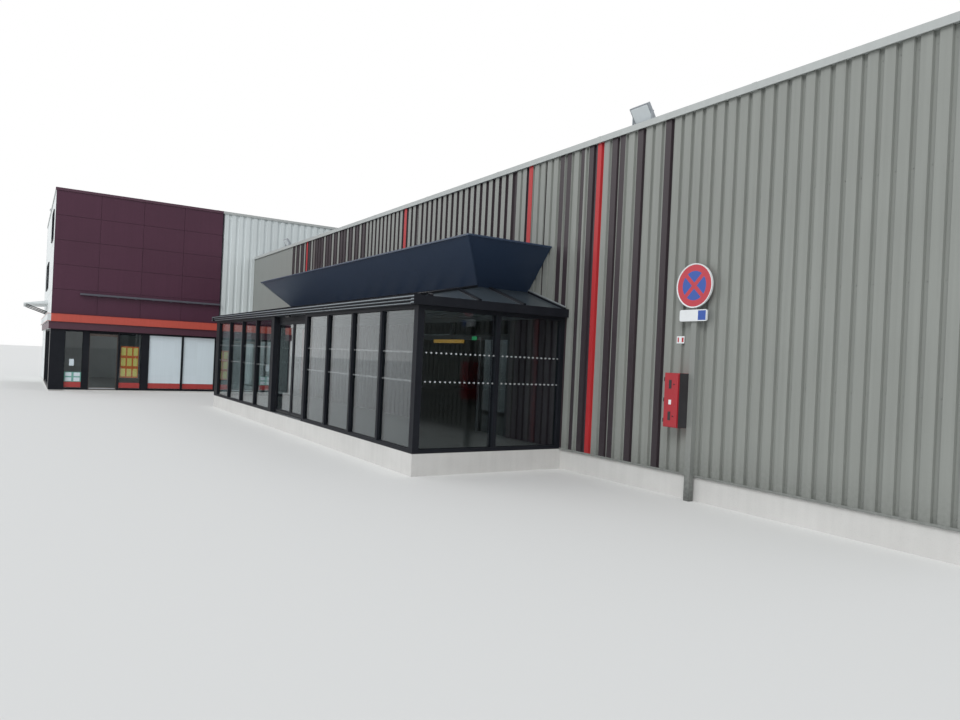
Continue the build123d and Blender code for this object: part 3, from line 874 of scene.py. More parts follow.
@dataclass(frozen=True)
class Glow(Finish):
    """Lit plastic cover of a lamp.

    Attributes:
        colour: The light's colour.
        power: How strongly it glows.
    """

    colour: Paint
    power: float

    def shader(self, graph: Graph) -> Socket:
        """Let the cover glow, a little unevenly."""
        colour = graph.shade(self.colour.value, 0.9 + graph.noise(0.2, 2.0) * 0.2)
        return graph.surface(Base_Color=colour, Roughness=0.4, Emission_Color=colour,
                             Emission_Strength=self.power)


@dataclass(frozen=True)
class PaperCards(Finish):
    """Board with rows of plain pale cards.

    Attributes:
        start: The board's lower corner along Y and Z.
        card: A card's field along Y and Z.
        board: The board's paint.
        paper: The cards' paper.
        share: The part of its field that a card fills.
    """

    start: Pair
    card: Pair
    board: Paint
    paper: Paint
    share: float = 0.74

    def shader(self, graph: Graph) -> Socket:
        """Lay the cards on the board.

        Args:
            graph: The graph.

        Returns:
            The shader's output.
        """
        fields = zip(graph.place()[1:], self.start, self.card)
        inside = reduce(Signal.__mul__, (abs((axis - origin) / field % 1.0 - 0.5) < self.share / 2
                                         for axis, origin, field in fields))
        creases = graph.noise(0.05, 3.0)
        colour = graph.shade(graph.mix(inside, self.board.value, self.paper.value), 0.92 + creases * 0.14)
        return graph.coat(colour, 0.7, creases, 0.001)


class Facing(Enum):
    """The way a wall looks: the axis and the sign of a quarter turn from +Z."""

    RIGHT = ("Y", 1)
    LEFT = ("Y", -1)
    BACK = ("X", -1)
    FRONT = ("X", 1)


class Workpiece:
    """A mesh in the making, shaped with bmesh operators. Its methods can be chained."""

    def __init__(self) -> None:
        """Start with an empty mesh."""
        self.mesh = bmesh.new()

    def _block(self, matrix: Matrix, ease: float) -> None:
        """Add a cube placed, turned and stretched by a matrix.

        Args:
            matrix: The matrix.
            ease: How far its edges are bevelled.
        """
        verts = bmesh.ops.create_cube(self.mesh, size=1.0, matrix=matrix)["verts"]
        if ease:
            edges = list(dict.fromkeys(edge for vert in verts for edge in vert.link_edges))
            bmesh.ops.bevel(self.mesh, geom=edges, offset=ease, offset_type="OFFSET", segments=1,
                            profile=0.5, affect="EDGES", material=-1)

    def bars(self, rows: Iterable[Sequence[float]], ease: float = 0.0) -> "Workpiece":
        """Add boxes.

        Args:
            rows: Each box's two ends along X, then along Y, then along Z.
            ease: How far their edges are bevelled.

        Returns:
            This workpiece.
        """
        for row in rows:
            low, high = Vector(row[::2]), Vector(row[1::2])
            self._block(Matrix.Translation((low + high) / 2) @ Matrix.Diagonal((*(high - low), 1)), ease)
        return self

    def beam(self, start: Point, end: Point, width: float, depth: float, ease: float = 0.0) -> None:
        """Add a straight beam whose underside runs from one point to another.

        Args:
            start: The middle of its underside at one end.
            end: The middle of its underside at the other end.
            width: Its width, level across the run.
            depth: Its height, square to the run.
            ease: How far its edges are bevelled.
        """
        run = Vector(end) - Vector(start)
        side = Vector((0, 0, 1)).cross(run).normalized()
        up = run.normalized().cross(side)
        turn = Matrix((run.normalized(), side, up)).transposed().to_4x4()
        middle = (Vector(start) + Vector(end)) / 2 + up * depth / 2
        self._block(Matrix.Translation(middle) @ turn @ Matrix.Diagonal((run.length, width, depth, 1)), ease)

    def studs(self, feet: Iterable[Point], facing: Facing, radius: float, height: float,
              sides: int = 6) -> "Workpiece":
        """Add small tapered studs that stand out of a wall.

        Args:
            feet: The middle of each stud's foot.
            facing: The way the wall looks.
            radius: The radius of a foot.
            height: Their height.
            sides: The number of their sides.

        Returns:
            This workpiece.
        """
        axis, sign = facing.value
        taper = 0.8
        turn = Matrix.Rotation(sign * math.pi / 2, 4, axis) @ Matrix.Translation((0, 0, height / 2))
        for foot in feet:
            matrix = Matrix.Translation(foot) @ turn
            bmesh.ops.create_cone(self.mesh, cap_ends=True, cap_tris=False, segments=sides,
                                  radius1=radius, radius2=radius * taper, depth=height, matrix=matrix)
        return self

    def prism(self, outline: Iterable[Point], run: Point) -> None:
        """Add a solid by drawing an outline along a straight run.

        Args:
            outline: The corners of the outline, in order.
            run: How far and which way it is drawn.
        """
        face = self.mesh.faces.new([self.mesh.verts.new(corner) for corner in outline])
        grown = bmesh.ops.extrude_face_region(self.mesh, geom=[face])["geom"]
        moved = [item for item in grown if isinstance(item, bmesh.types.BMVert)]
        bmesh.ops.translate(self.mesh, verts=moved, vec=Vector(run))

    def ring(self, centre: Point, inner: float, outer: float, depth: float,
             sides: int = 64) -> "Workpiece":
        """Add a flat ring that faces along -Y.

        Args:
            centre: Its middle, on its back.
            inner: Its inner radius.
            outer: Its outer radius.
            depth: Its thickness.
            sides: The number of its sides.

        Returns:
            This workpiece.
        """
        profile = [self.mesh.verts.new(Vector(centre) + Vector((radius, out, 0)))
                   for radius, out in ((inner, 0), (outer, 0), (outer, -depth), (inner, -depth))]
        edges = [self.mesh.edges.new((profile[i - 1], profile[i])) for i in range(4)]
        bmesh.ops.spin(self.mesh, geom=profile + edges, cent=centre, axis=(0, 1, 0),
                       angle=math.tau, steps=sides, use_merge=True)
        return self

    def bead_frame(self, row: Sequence[float], size: float, along_x: bool) -> None:
        """Frame a pane with four beads.

        Args:
            row: The frame's two ends along X, then along Y, then along Z.
            size: The width of a bead.
            along_x: Whether the pane runs along X, or else along Y.
        """
        start = 0 if along_x else 2
        low, high = row[start], row[start + 1]
        spans = ((low, low + size, *row[4:]), (high - size, high, *row[4:]),
                 (low + size, high - size, row[4], row[4] + size),
                 (low + size, high - size, row[5] - size, row[5]))
        self.bars(((a, b, row[2], row[3], *level) if along_x else (row[0], row[1], a, b, *level)
                   for a, b, *level in spans), EASE)

    def turned(self, matrix: Matrix) -> "Workpiece":
        """Move and turn the whole mesh."""
        bmesh.ops.transform(self.mesh, matrix=matrix, verts=self.mesh.verts)
        return self

    def made(self, name: str, finish: Finish) -> bpy.types.Object:
        """Make the mesh an object.

        Args:
            name: The object's name.
            finish: Its finish.

        Returns:
            The object.
        """
        data = bpy.data.meshes.new(name)
        self.mesh.to_mesh(data)
        self.mesh.free()
        data.materials.append(finish.material())
        made = bpy.data.objects.new(name, data)
        bpy.context.scene.collection.objects.link(made)
        return made

    def piece(self, name: str, finish: Finish, slot: str, body: str = BUILDING) -> None:
        """Make the mesh an object that rides on a body.

        Args:
            name: The object's name.
            finish: Its finish.
            slot: A slot of the record; not used.
            body: The body that it rides on.
        """
        bmesh.ops.recalc_face_normals(self.mesh, faces=self.mesh.faces)
        made = self.made(name, finish)
        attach(made, body)
        log.info("%s: %d faces on %s", name, len(made.data.polygons), body)


def dress(finish: Finish, *nodes: str) -> None:
    """Give carried-over nodes a finish.

    Args:
        finish: The finish.
        nodes: The nodes' names.
    """
    for node in nodes:
        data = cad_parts[node].data
        data.materials.clear()
        data.materials.append(finish.material())
        log.info("%s: %s", node, finish.name)


def pair(pattern: str) -> tuple[str, str]:
    """Name the left and the right one of a pair."""
    return pattern.format("left"), pattern.format("right")


def steps(start: float, end: float, pitch: float) -> list[float]:
    """Spread places evenly between two ends, at about a pitch.

    Args:
        start: The first end.
        end: The other end.
        pitch: The distance wanted.

    Returns:
        The places between the ends, without the ends.
    """
    count = max(1, round(abs(end - start) / pitch))
    return [start + (end - start) * i / count for i in range(1, count)]


def rib_count(start: float, end: float, pitch: float, slack: float = 0.001) -> int:
    """Count the whole ribs between two ends, with some slack for rounding."""
    return int((end - start + slack) / pitch)


def bays(start: float, end: float, count: int, post: float) -> list[Pair]:
    """Give both edges of each of some equal panes with posts between them."""
    pitch = (end - start + post) / count
    return [(start + i * pitch, start + (i + 1) * pitch - post) for i in range(count)]


def straps(node: str, width: float, left_side: bool) -> Workpiece:
    """Fold joint straps over a capping.

    Args:
        node: The capping's node.
        width: How far a strap reaches over it.
        left_side: Whether it runs along the left side too.

    Returns:
        The straps.
    """
    low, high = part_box(node)
    pitch, half, proud, drop = 3.0, 0.04, 0.004, 0.01
    level = (low.z - drop, high.z + proud)
    ends = ((low.y - proud, low.y + width), (high.y - width, high.y + proud))
    sides = ((high.x - width, high.x + proud), (low.x - proud, low.x + width))
    rows = [(x - half, x + half, *end, *level) for x in steps(low.x, high.x, pitch) for end in ends]
    rows += [(*side, y - half, y + half, *level) for y in steps(low.y, high.y, pitch)
             for side in sides[:2 if left_side else 1]]
    return Workpiece().bars(rows, FINE_EASE)


FRAME_COAT = PowderCoat("frame_coat", Paint.FRAME, roughness=0.5, dust=0.03, shine=0.12)
ALUMINIUM = PowderCoat("mill_aluminium", Paint.ALUMINIUM, roughness=0.32, metallic=0.85, dust=0.05)
RUBBER = PowderCoat("black_rubber", Paint.RUBBER, roughness=0.7)
CAPPING = PaintedSheet("capping_sheet", Paint.CAPPING, NO_SPLASH, (3.0, 3.0, WHOLE), strength=0.7)
FLASHING = PaintedSheet("flashing_sheet", Paint.FLASHING, NO_SPLASH, (2.0, 2.0, WHOLE))
BEIGE_TRIM = PaintedSheet("beige_trim_sheet", Paint.BEIGE_SMOOTH, PLINTH_TOP, (2.0, 2.0, WHOLE))
# Coat of the gutter beads, which paint a highlight along the gutter's steps.
GUTTER_HIGHLIGHT = PowderCoat("gutter_highlight_coat", Paint.GUTTER_HIGHLIGHT, roughness=0.3, metallic=0.3, dust=0.05)


@dataclass
class HallWalls:
    """Ribbed walls of the hall, their trims, screws and capping.

    Attributes:
        rib_pitch: The distance between plain ribs.
        stripe_pitch: The distance between ribs where the wall is striped.
        stripe_crest: The width of a striped rib's face.
        rib_depth: How far a rib stands out.
        lining_depth: From the ribs' faces back to the lining.
        screw: The radius and the height of a screw's head.
        screw_levels: The heights of the rows of screws.
        porch_reach: How high over the vestibule's floor its wall has no screws.
        side_length: From the back wall forwards to the first screw of the right wall.
        corner_leg: The width of a corner trim.
        left_ribs: The paint of the ribs left of the entrance.
        right_bands: The bands right of the entrance: a letter and where each ends along X.
    """

    rib_pitch: float = 0.2
    stripe_pitch: float = 0.25
    stripe_crest: float = 0.139
    rib_depth: float = 0.04
    lining_depth: float = 0.15
    screw: Pair = (0.007, 0.006)
    screw_levels: Row = (0.47, 1.75, 3.05, 4.35, 5.7)
    porch_reach: float = 3.0
    side_length: float = 21.6
    corner_leg: float = 0.12
    left_ribs: str = "DLDLDLRDLFDDDLDDLDLDDLDLDLDLLLLLLLLLLRLL"
    right_bands: tuple[tuple[str, float], ...] = (
        ("D", 11.125), ("L", 11.264), ("D", 11.275), ("L", 11.464), ("D", 11.53), ("R", 11.664),
        ("L", 12.064), ("D", 12.08), ("L", 12.53), ("D", 12.657), ("L", 12.707), ("D", 12.857),
        ("L", 13.064), ("D", 13.222), ("L", 13.33), ("D", 13.565), ("R", 13.672), ("L", 13.93),
        ("D", 14.057), ("L", 14.107), ("D", 14.25), ("L", 14.53), ("D", 14.68), ("L", 15.13), ("D", 15.28))

    def __post_init__(self) -> None:
        """Find the walls."""
        self.left_low, self.left_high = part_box("hall_front_wall_left")
        self.right_low, self.right_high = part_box("hall_front_wall_right")
        self.back_low, self.back_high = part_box("hall_back_wall")
        self.vest_low, self.vest_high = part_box("vestibule_base")
        self.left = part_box("hall_front_wall_smooth")[0].x
        self.front, self.base = self.left_low.y, self.left_low.z
        self.sheet = (self.front + self.lining_depth, self.base, (self.vest_low.x, self.vest_high.x),
                      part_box("vestibule_roof")[0].z)

    def striped(self, name: str, node: str, ribs: str) -> None:
        """Dress a stretch with painted ribs.

        Args:
            name: The finish's name.
            node: The stretch's node.
            ribs: The letters of the first ribs, with light ones after them.
        """
        low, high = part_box(node)
        count = rib_count(low.x, high.x, self.stripe_pitch)
        start = (low.x + high.x) / 2 - count * self.stripe_pitch / 2
        dress(StripedSheet(name, *self.sheet, start, self.stripe_pitch, self.stripe_crest,
                           ribs.ljust(count, "L")), node)

    def finishes(self) -> None:
        """Paint the walls."""
        self.striped("striped_sheet_left", "hall_front_wall_left", self.left_ribs)
        self.striped("striped_sheet_entrance", "hall_front_wall_over_entrance", "")
        dress(BandedSheet("banded_sheet_right", *self.sheet, self.right_low.x, self.right_bands),
              "hall_front_wall_right")
        dress(PaintedSheet("smooth_beige_sheet", Paint.BEIGE_SMOOTH, self.base, (1.3, 1.0, 2.8), 0.004,
                           (self.left, 0.0, self.base)), "hall_front_wall_smooth")
        dress(PaintedSheet("ribbed_beige_sheet", Paint.BEIGE, self.base), "hall_right_wall",
              "hall_back_wall")
        dress(CAPPING, "hall_capping")

    def base_trim(self) -> None:
        """Set a drip profile under the sheets, where they meet the plinth."""
        gap, reach, drop, rise = 0.002, 0.01, 0.012, 0.02
        right, back = self.right_high.x, self.back_high.y
        front, level = (self.front - reach, self.front - gap), (self.base - drop, self.base + rise)
        Workpiece().bars([(self.left, self.vest_low.x, *front, *level),
                          (self.vest_high.x, right, *front, *level),
                          (right + gap, right + reach, front[0], back + reach, *level),
                          (self.left, right, back + gap, back + reach, *level)],
                         EASE).piece("hall_base_trim", BEIGE_TRIM, "smooth_beige")

    def corner_trims(self) -> None:
        """Cover the corners and the edges of the smooth panel with folded trims."""
        work = Workpiece()
        leg, proud, lift, cover = self.corner_leg, 0.006, 0.05, 0.012
        foot, top, right = self.base + lift, self.left_high.z, self.right_high.x
        for y, inward in ((self.front, 1), (self.back_high.y, -1)):
            outer, inner, bare = (y + inward * far for far in (-proud, leg, -SKIN))
            outline = ((right - leg, outer), (right + proud, outer), (right + proud, inner),
                       (right + SKIN, inner), (right + SKIN, bare), (right - leg, bare))
            work.prism([(*corner, foot) for corner in outline], (0, 0, top - foot))
        face = (self.front - cover, self.front - SKIN, foot, top)
        edge, over_smooth, over_ribs, corner = self.left_low.x, 0.035, 0.03, 0.06
        work.bars([(edge - over_smooth, edge + over_ribs, *face), (self.left, self.left + corner, *face)],
                  EASE)
        work.piece("hall_corner_trims", BEIGE_TRIM, "smooth_beige")

    def screws(self) -> None:
        """Set hexagon screws in the valleys, in level rows."""
        front, feet = self.front + self.rib_depth, []
        for low, high, pitch in ((self.left_low, self.left_high, self.stripe_pitch),
                                 (self.right_low, self.right_high, self.rib_pitch)):
            for x in (low.x + i * pitch for i in range(1, rib_count(low.x, high.x, pitch))):
                in_porch = self.vest_low.x < x < self.vest_high.x
                feet += [(x, front, level) for level in self.screw_levels
                         if not in_porch or level >= self.vest_high.z + self.porch_reach]
        right, back = self.right_high.x - self.rib_depth, self.back_high.y - self.rib_depth
        side_ys = steps(self.back_low.y - self.side_length, self.back_low.y, 2 * self.rib_pitch)
        back_xs = steps(self.back_low.x, self.back_high.x, 2 * self.rib_pitch)
        work = Workpiece().studs(feet, Facing.FRONT, *self.screw)
        work.studs([(right, y, z) for y in side_ys for z in self.screw_levels], Facing.RIGHT, *self.screw)
        work.studs([(x, back, z) for x in back_xs for z in self.screw_levels], Facing.BACK, *self.screw)
        work.piece("cladding_screws", PowderCoat("screw_head_beige", Paint.BEIGE_SMOOTH), "smooth_beige")

    def capping(self) -> None:
        """Fold joint straps over the capping and give it a drip lip."""
        low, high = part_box("hall_capping")
        lip, tuck = 0.012, 0.002
        right, level = high.x + lip, (low.z - lip, low.z + lip)
        straps("hall_capping", width=0.23, left_side=False).bars(
            [(low.x, right, low.y - lip, low.y + tuck, *level),
             (low.x, right, high.y - tuck, high.y + lip, *level),
             (high.x - tuck, right, low.y, high.y, *level)], EASE
        ).piece("hall_capping_straps", CAPPING, "capping")

    def build(self) -> None:
        """Paint the walls and add their trims."""
        self.finishes()
        self.base_trim()
        self.corner_trims()
        self.screws()
        self.capping()


@dataclass
class Roofs:
    """Flat roof decks with their membrane laps and upstands.

    Attributes:
        sheet_width: The width of a membrane sheet.
        lap: The width and the height of a lap.
        upstand: The thickness and the height of the membrane turned up at a parapet.
    """

    sheet_width: float = 1.05
    lap: Pair = (0.08, 0.005)
    upstand: Pair = (0.02, 0.22)

    def deck(self, node: str, name: str) -> None:
        """Dress one deck.

        Args:
            node: The deck's node.
            name: The new piece's name.
        """
        low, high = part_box(node)
        finish = RoofMembrane(name + "_membrane", self.sheet_width, high.z)
        dress(finish, node)
        fold, rise = self.upstand[0], (high.z, high.z + self.upstand[1])
        inner = (low.y + fold, high.y - fold)
        laps = [(x, x + self.lap[0], low.y, high.y, high.z, high.z + self.lap[1])
                for x in steps(low.x, high.x, self.sheet_width)]
        folds = [(low.x, high.x, low.y, inner[0], *rise), (low.x, high.x, inner[1], high.y, *rise),
                 (low.x, low.x + fold, *inner, *rise), (high.x - fold, high.x, *inner, *rise)]
        Workpiece().bars(laps).bars(folds, WIDE_EASE).piece(name, finish, "roof_membrane")

    def build(self) -> None:
        """Dress both decks."""
        self.deck("hall_roof", "hall_roof_laps")
        self.deck("wing_roof", "wing_roof_laps")


@dataclass
class Vestibule:
    """Glazed entrance vestibule: frames, glass, eave, roof, doors and ceiling.

    Attributes:
        post_width: The width of a post.
        front_bays: Bays on each side of the door.
        side_bays: Bays of each side.
        dot_levels: The heights of the warning dots.
        gutter_steps: The number of the gutter's steps.
        step_height: The height of a gutter step.
        step_reach: How much further each step stands out.
        gutter_reach: How far the lowest step stands out.
        bead: The width and the depth of a glazing bead.
        slat_pitch: The distance between the ceiling's slats.
        slat_half: Half the width of a slat.
        sensor: Half the length, the depth and the height of the sensor over the door.
    """

    post_width: float = 0.08
    front_bays: int = 4
    side_bays: int = 2
    dot_levels: Row = (1.54, 2.02)
    gutter_steps: int = 3
    step_height: float = 0.05
    step_reach: float = 0.035
    gutter_reach: float = 0.07
    bead: Pair = (0.01, 0.012)
    slat_pitch: float = 0.3
    slat_half: float = 0.012
    sensor: Triple = (0.13, 0.045, 0.05)

    def __post_init__(self) -> None:
        """Find the vestibule."""
        self.low, self.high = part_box("vestibule_base")
        self.roof_low, self.roof_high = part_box("vestibule_roof")
        self.gutter_low, self.gutter_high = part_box("vestibule_gutter")
        self.wall_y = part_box("hall_front_wall_left")[0].y
        self.floor, self.front = self.high.z, self.low.y

    def finishes(self) -> None:
        """Dress the carried-over nodes."""
        dress(Slab("vestibule_slab", self.floor), "vestibule_base")
        dress(FRAME_COAT, *pair("vestibule_front_{}_frame"), *pair("vestibule_{}_side_frame"),
              *pair("vestibule_door_{}_leaf"), "vestibule_gutter", "vestibule_door_header")
        dress(ClearGlass("front_glass", self.dot_levels, graze=0.95, ink=0.3),
              *pair("vestibule_front_{}_glass"))
        dress(ClearGlass("side_glass", self.dot_levels, radius=0.014, along_x=False, shine=0.025, ink=0.62),
              *pair("vestibule_{}_side_glass"))
        dress(ClearGlass("door_glass", graze=0.95), *pair("vestibule_door_{}_glass"))
        dress(PaintedSheet("roof_sheet_grey", Paint.ROOF_SHEET, NO_SPLASH, (0.94, 0.94, WHOLE),
                           roughness=0.3), "vestibule_roof")
        dress(PowderCoat("seam_coat", Paint.FRAME, roughness=0.36, dust=0.04, shine=0.3),
              "vestibule_roof_seams")

    def beads(self) -> None:
        """Frame each pane with glazing beads outside and inside."""
        work = Workpiece()
        size, out = self.bead
        for node in pair("vestibule_front_{}_glass"):
            low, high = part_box(node)
            for x0, x1 in bays(low.x, high.x, self.front_bays, self.post_width):
                for y0, y1 in ((low.y - out, low.y), (high.y, high.y + out)):
                    work.bead_frame((x0, x1, y0, y1, low.z, high.z), size, along_x=True)
        for node in pair("vestibule_{}_side_glass"):
            low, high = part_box(node)
            for y0, y1 in bays(low.y, high.y, self.side_bays, self.post_width):
                for x0, x1 in ((low.x - out, low.x), (high.x, high.x + out)):
                    work.bead_frame((x0, x1, y0, y1, low.z, high.z), size, along_x=False)
        work.piece("glazing_beads", FRAME_COAT, "dark_frame")

    def gutter_highlight_beads(self) -> None:
        """Run a pale bead along the middle of each gutter step, as a painted highlight on its edge."""
        work = Workpiece()
        half, out = 0.009, 0.007
        end_face = (self.gutter_low.y - out, self.gutter_low.y)
        for step in range(self.gutter_steps):
            lip = self.front - self.gutter_reach - step * self.step_reach
            middle = self.gutter_low.z + (step + 0.5) * self.step_height
            level = (middle - half, middle + half)
            # Each bead is a painted highlight on the edge of a gutter step.
            work.bars([(self.low.x, self.high.x, lip - out, lip, *level)], WIDE_EASE)
            work.bars([(self.gutter_low.x, self.low.x, *end_face, *level),
                       (self.high.x, self.gutter_high.x, *end_face, *level)], FINE_EASE)
        work.piece("gutter_highlight_beads", GUTTER_HIGHLIGHT, "capping")

    def ceiling(self) -> None:
        """Hang the ceiling: a dark lining under level slats."""
        margin, setback, lining, hang, half = 0.12, 0.30, 0.012, 0.03, self.slat_half
        span, level = (self.low.x + margin, self.high.x - margin), self.roof_low.z
        front = self.front + setback
        Workpiece().bars([(*span, front, self.wall_y, level - lining, level - SKIN)]).piece(
            "vestibule_ceiling", PaintedSheet("ceiling_lining", Paint.CEILING, NO_SPLASH, (0.6, 0.6, WHOLE)),
            "dark_frame")
        Workpiece().bars([(*span, y - half, y + half, level - hang, level - lining)
                          for y in steps(front, self.wall_y, self.slat_pitch)], EASE
                         ).piece("ceiling_slats", PowderCoat("slat_coat", Paint.SLAT), "capping")

    def door_details(self) -> None:
        """Add the threshold, the sensor and the leaves' brush seals."""
        left, right = (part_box(node) for node in pair("vestibule_door_{}_leaf"))
        head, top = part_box("vestibule_door_header")[0].z, self.roof_low.z
        setback, plate = 0.005, 0.004
        Workpiece().bars([(left[0].x, right[1].x, self.front + setback, left[1].y, self.floor,
                           self.floor + plate)]).piece("door_threshold", ALUMINIUM, "capping")
        middle, (half, depth, height) = (left[1].x + right[0].x) / 2, self.sensor
        Workpiece().bars([(middle - half, middle + half, self.front - depth, self.front,
                           top - setback - height, top - setback)], ease=0.012).piece(
            "door_sensor", RUBBER, "dark_frame")
        brush, bristle, thin, inset, gap, rail = 0.012, 0.006, 0.004, 0.08, 0.01, (0.02, 0.06)
        for side, (low, high), inner in (("left", left, left[1].x - brush), ("right", right, right[0].x)):
            middle, span = (low.y + high.y) / 2, (low.x + inset, high.x - inset)
            seal = Workpiece().bars([
                (inner, inner + brush, high.y, high.y + bristle, low.z + gap, head - gap),
                (*span, middle - thin, middle + thin, low.z - bristle, low.z)])
            seal.bars([(*span, low.y - thin, low.y, low.z + rail[0], low.z + rail[1])], FINE_EASE)
            seal.piece(f"{side}_leaf_seals", RUBBER, "dark_frame", f"{side}_leaf")

    def flashings(self) -> None:
        """Run a thin flashing up the wall beside each end slope and along the sign box's foot."""
        work = Workpiece()
        width, depth, reach, rise = 0.016, 0.055, 0.02, 0.012
        ridge, eave, wall = self.roof_high.z, self.gutter_high.z, self.wall_y - width / 2 - SKIN
        left, right, front = SignBox().foot()
        for foot_x, head_x in ((self.high.x, right), (self.low.x, left)):
            work.beam((foot_x, wall, eave), (head_x, wall, ridge), width, depth, EASE)
        work.bars([(left, right, front - reach, front - SKIN, ridge, ridge + rise)], FINE_EASE)
        work.piece("roof_flashings", FLASHING, "capping")

    def build(self) -> None:
        """Dress the vestibule and add its small pieces."""
        self.finishes()
        self.beads()
        self.gutter_highlight_beads()
        self.ceiling()
        self.door_details()
        self.flashings()


@dataclass
class SignBox:
    """Leaning sign box over the entrance, bare, with folded trims.

    Attributes:
        base_left: From the vestibule's left end to the box's foot.
        base_depth: The depth of its foot.
        lean: How far its front and its right end lean out at the top.
        panel: The width of a front panel.
        trim: The width of a trim.
        proud: How far a trim stands out.
        corner: The width and the depth of the strip down a sloping corner.
    """

    base_left: float = 1.93
    base_depth: float = 1.18
    lean: float = 0.69
    panel: float = 2.6
    trim: float = 0.03
    proud: float = 0.005
    corner: Pair = (0.016, 0.006)

    def foot(self) -> Triple:
        """Give the ends of its foot along X and the front of its foot along Y.

        Returns:
            The left end, the right end and the front.
        """
        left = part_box("vestibule_base")[0].x + self.base_left
        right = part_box("sign_box")[1].x - self.lean
        return left, right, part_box("hall_front_wall_left")[0].y - self.base_depth

    def build(self) -> None:
        """Paint the box and add its edge trims."""
        low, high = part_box("sign_box")
        dress(PaintedSheet("sign_navy_sheet", Paint.NAVY, NO_SPLASH, (self.panel, WHOLE, WHOLE), 0.004,
                           (low.x, 0.0, 0.0), roughness=0.34, strength=0.6), "sign_box")
        left, right, foot_y = self.foot()
        top_y = foot_y - self.lean
        inner, head = top_y + self.trim, high.z - self.trim
        level, outer = (head, high.z + self.proud), (low.x - self.proud, high.x + self.proud)
        work = Workpiece().bars([(*outer, top_y - self.proud, inner, *level),
                                 (outer[0], low.x + self.trim, inner, foot_y + self.base_depth, *level),
                                 (high.x - self.trim, outer[1], inner, foot_y + self.base_depth, *level)],
                                EASE)
        for foot_x, top_x in ((left, low.x), (right, high.x)):
            work.beam((foot_x, foot_y, low.z), (top_x, top_y, head), *self.corner)
        work.piece("sign_box_trims", PowderCoat("sign_trim_coat", Paint.NAVY, roughness=0.3), "sign_navy")


@dataclass
class InnerEntrance:
    """Glazed screen between the vestibule and the hall, with its lamps.

    Attributes:
        header_drop: From the top of the screen down to the header's underside.
        light_start: From the screen's left end to the lit strip.
        light_size: The length and the height of the lit strip.
        light_reach: How far the strip stands out in front of the screen's face and behind it.
        exit_place: From the screen's right end and from the header's underside to the exit light.
        exit_size: The width, the depth and the height of the exit light.
        lamp_places: From the screen's left end to the middle of each column of hall lamps.
        lamp_row: From the screen back to the first row of hall lamps, and on to the next.
        lamp_rows: The number of rows.
        lamp_size: Half the length and half the width of a hall lamp.
        lamp_levels: From the deck's underside down to the lamps' foot and to their head.
    """

    header_drop: float = 0.89
    light_start: float = 1.2
    light_size: Pair = (1.32, 0.08)
    light_reach: Pair = (0.03, 0.04)
    exit_place: Pair = (1.28, 0.01)
    exit_size: Triple = (0.16, 0.04, 0.08)
    lamp_places: Row = (-3.0, 0.6, 4.2)
    lamp_row: Pair = (2.0, 3.4)
    lamp_rows: int = 3
    lamp_size: Pair = (1.2, 0.07)
    lamp_levels: Pair = (0.09, 0.01)

    def build(self) -> None:
        """Dress the screen and add lamps."""
        dress(PowderCoat("inner_frame_coat", Paint.FRAME, roughness=0.5), "inner_entrance_frame")
        dress(ClearGlass("inner_glass"), "inner_entrance_glass")
        low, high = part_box("inner_entrance_frame")
        header, start = high.z - self.header_drop, low.x + self.light_start
        (length, height), (before, behind) = self.light_size, self.light_reach
        Workpiece().bars([(start, start + length, low.y - before, low.y + behind, header - height, header)],
                         ease=0.006).piece(
            "entrance_header_light", Glow("header_light_cover", Paint.HEADER_YELLOW, power=0.35),
            "orange_band")
        right, foot = high.x - self.exit_place[0], header - self.exit_place[1]
        width, depth, height = self.exit_size
        Workpiece().bars([(right - width, right, low.y - depth, low.y, foot, foot + height)],
                         ease=0.008).piece(
            "exit_light", Glow("exit_light_cover", Paint.EXIT_GREEN, power=0.4), "sign_white")
        deck, (half, width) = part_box("hall_roof")[0].z, self.lamp_size
        level = [deck - drop for drop in self.lamp_levels]
        first, apart = self.lamp_row
        rows = [high.y + first + i * apart for i in range(self.lamp_rows)]
        Workpiece().bars([(low.x + x - half, low.x + x + half, y - width, y + width, *level)
                          for x in self.lamp_places for y in rows], ease=0.01).piece(
            "hall_lamps", Glow("hall_lamp_cover", Paint.SIGN_WHITE, power=1.5), "sign_white")
        dress(Slab("hall_slab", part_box("hall_base")[1].z), "hall_base")


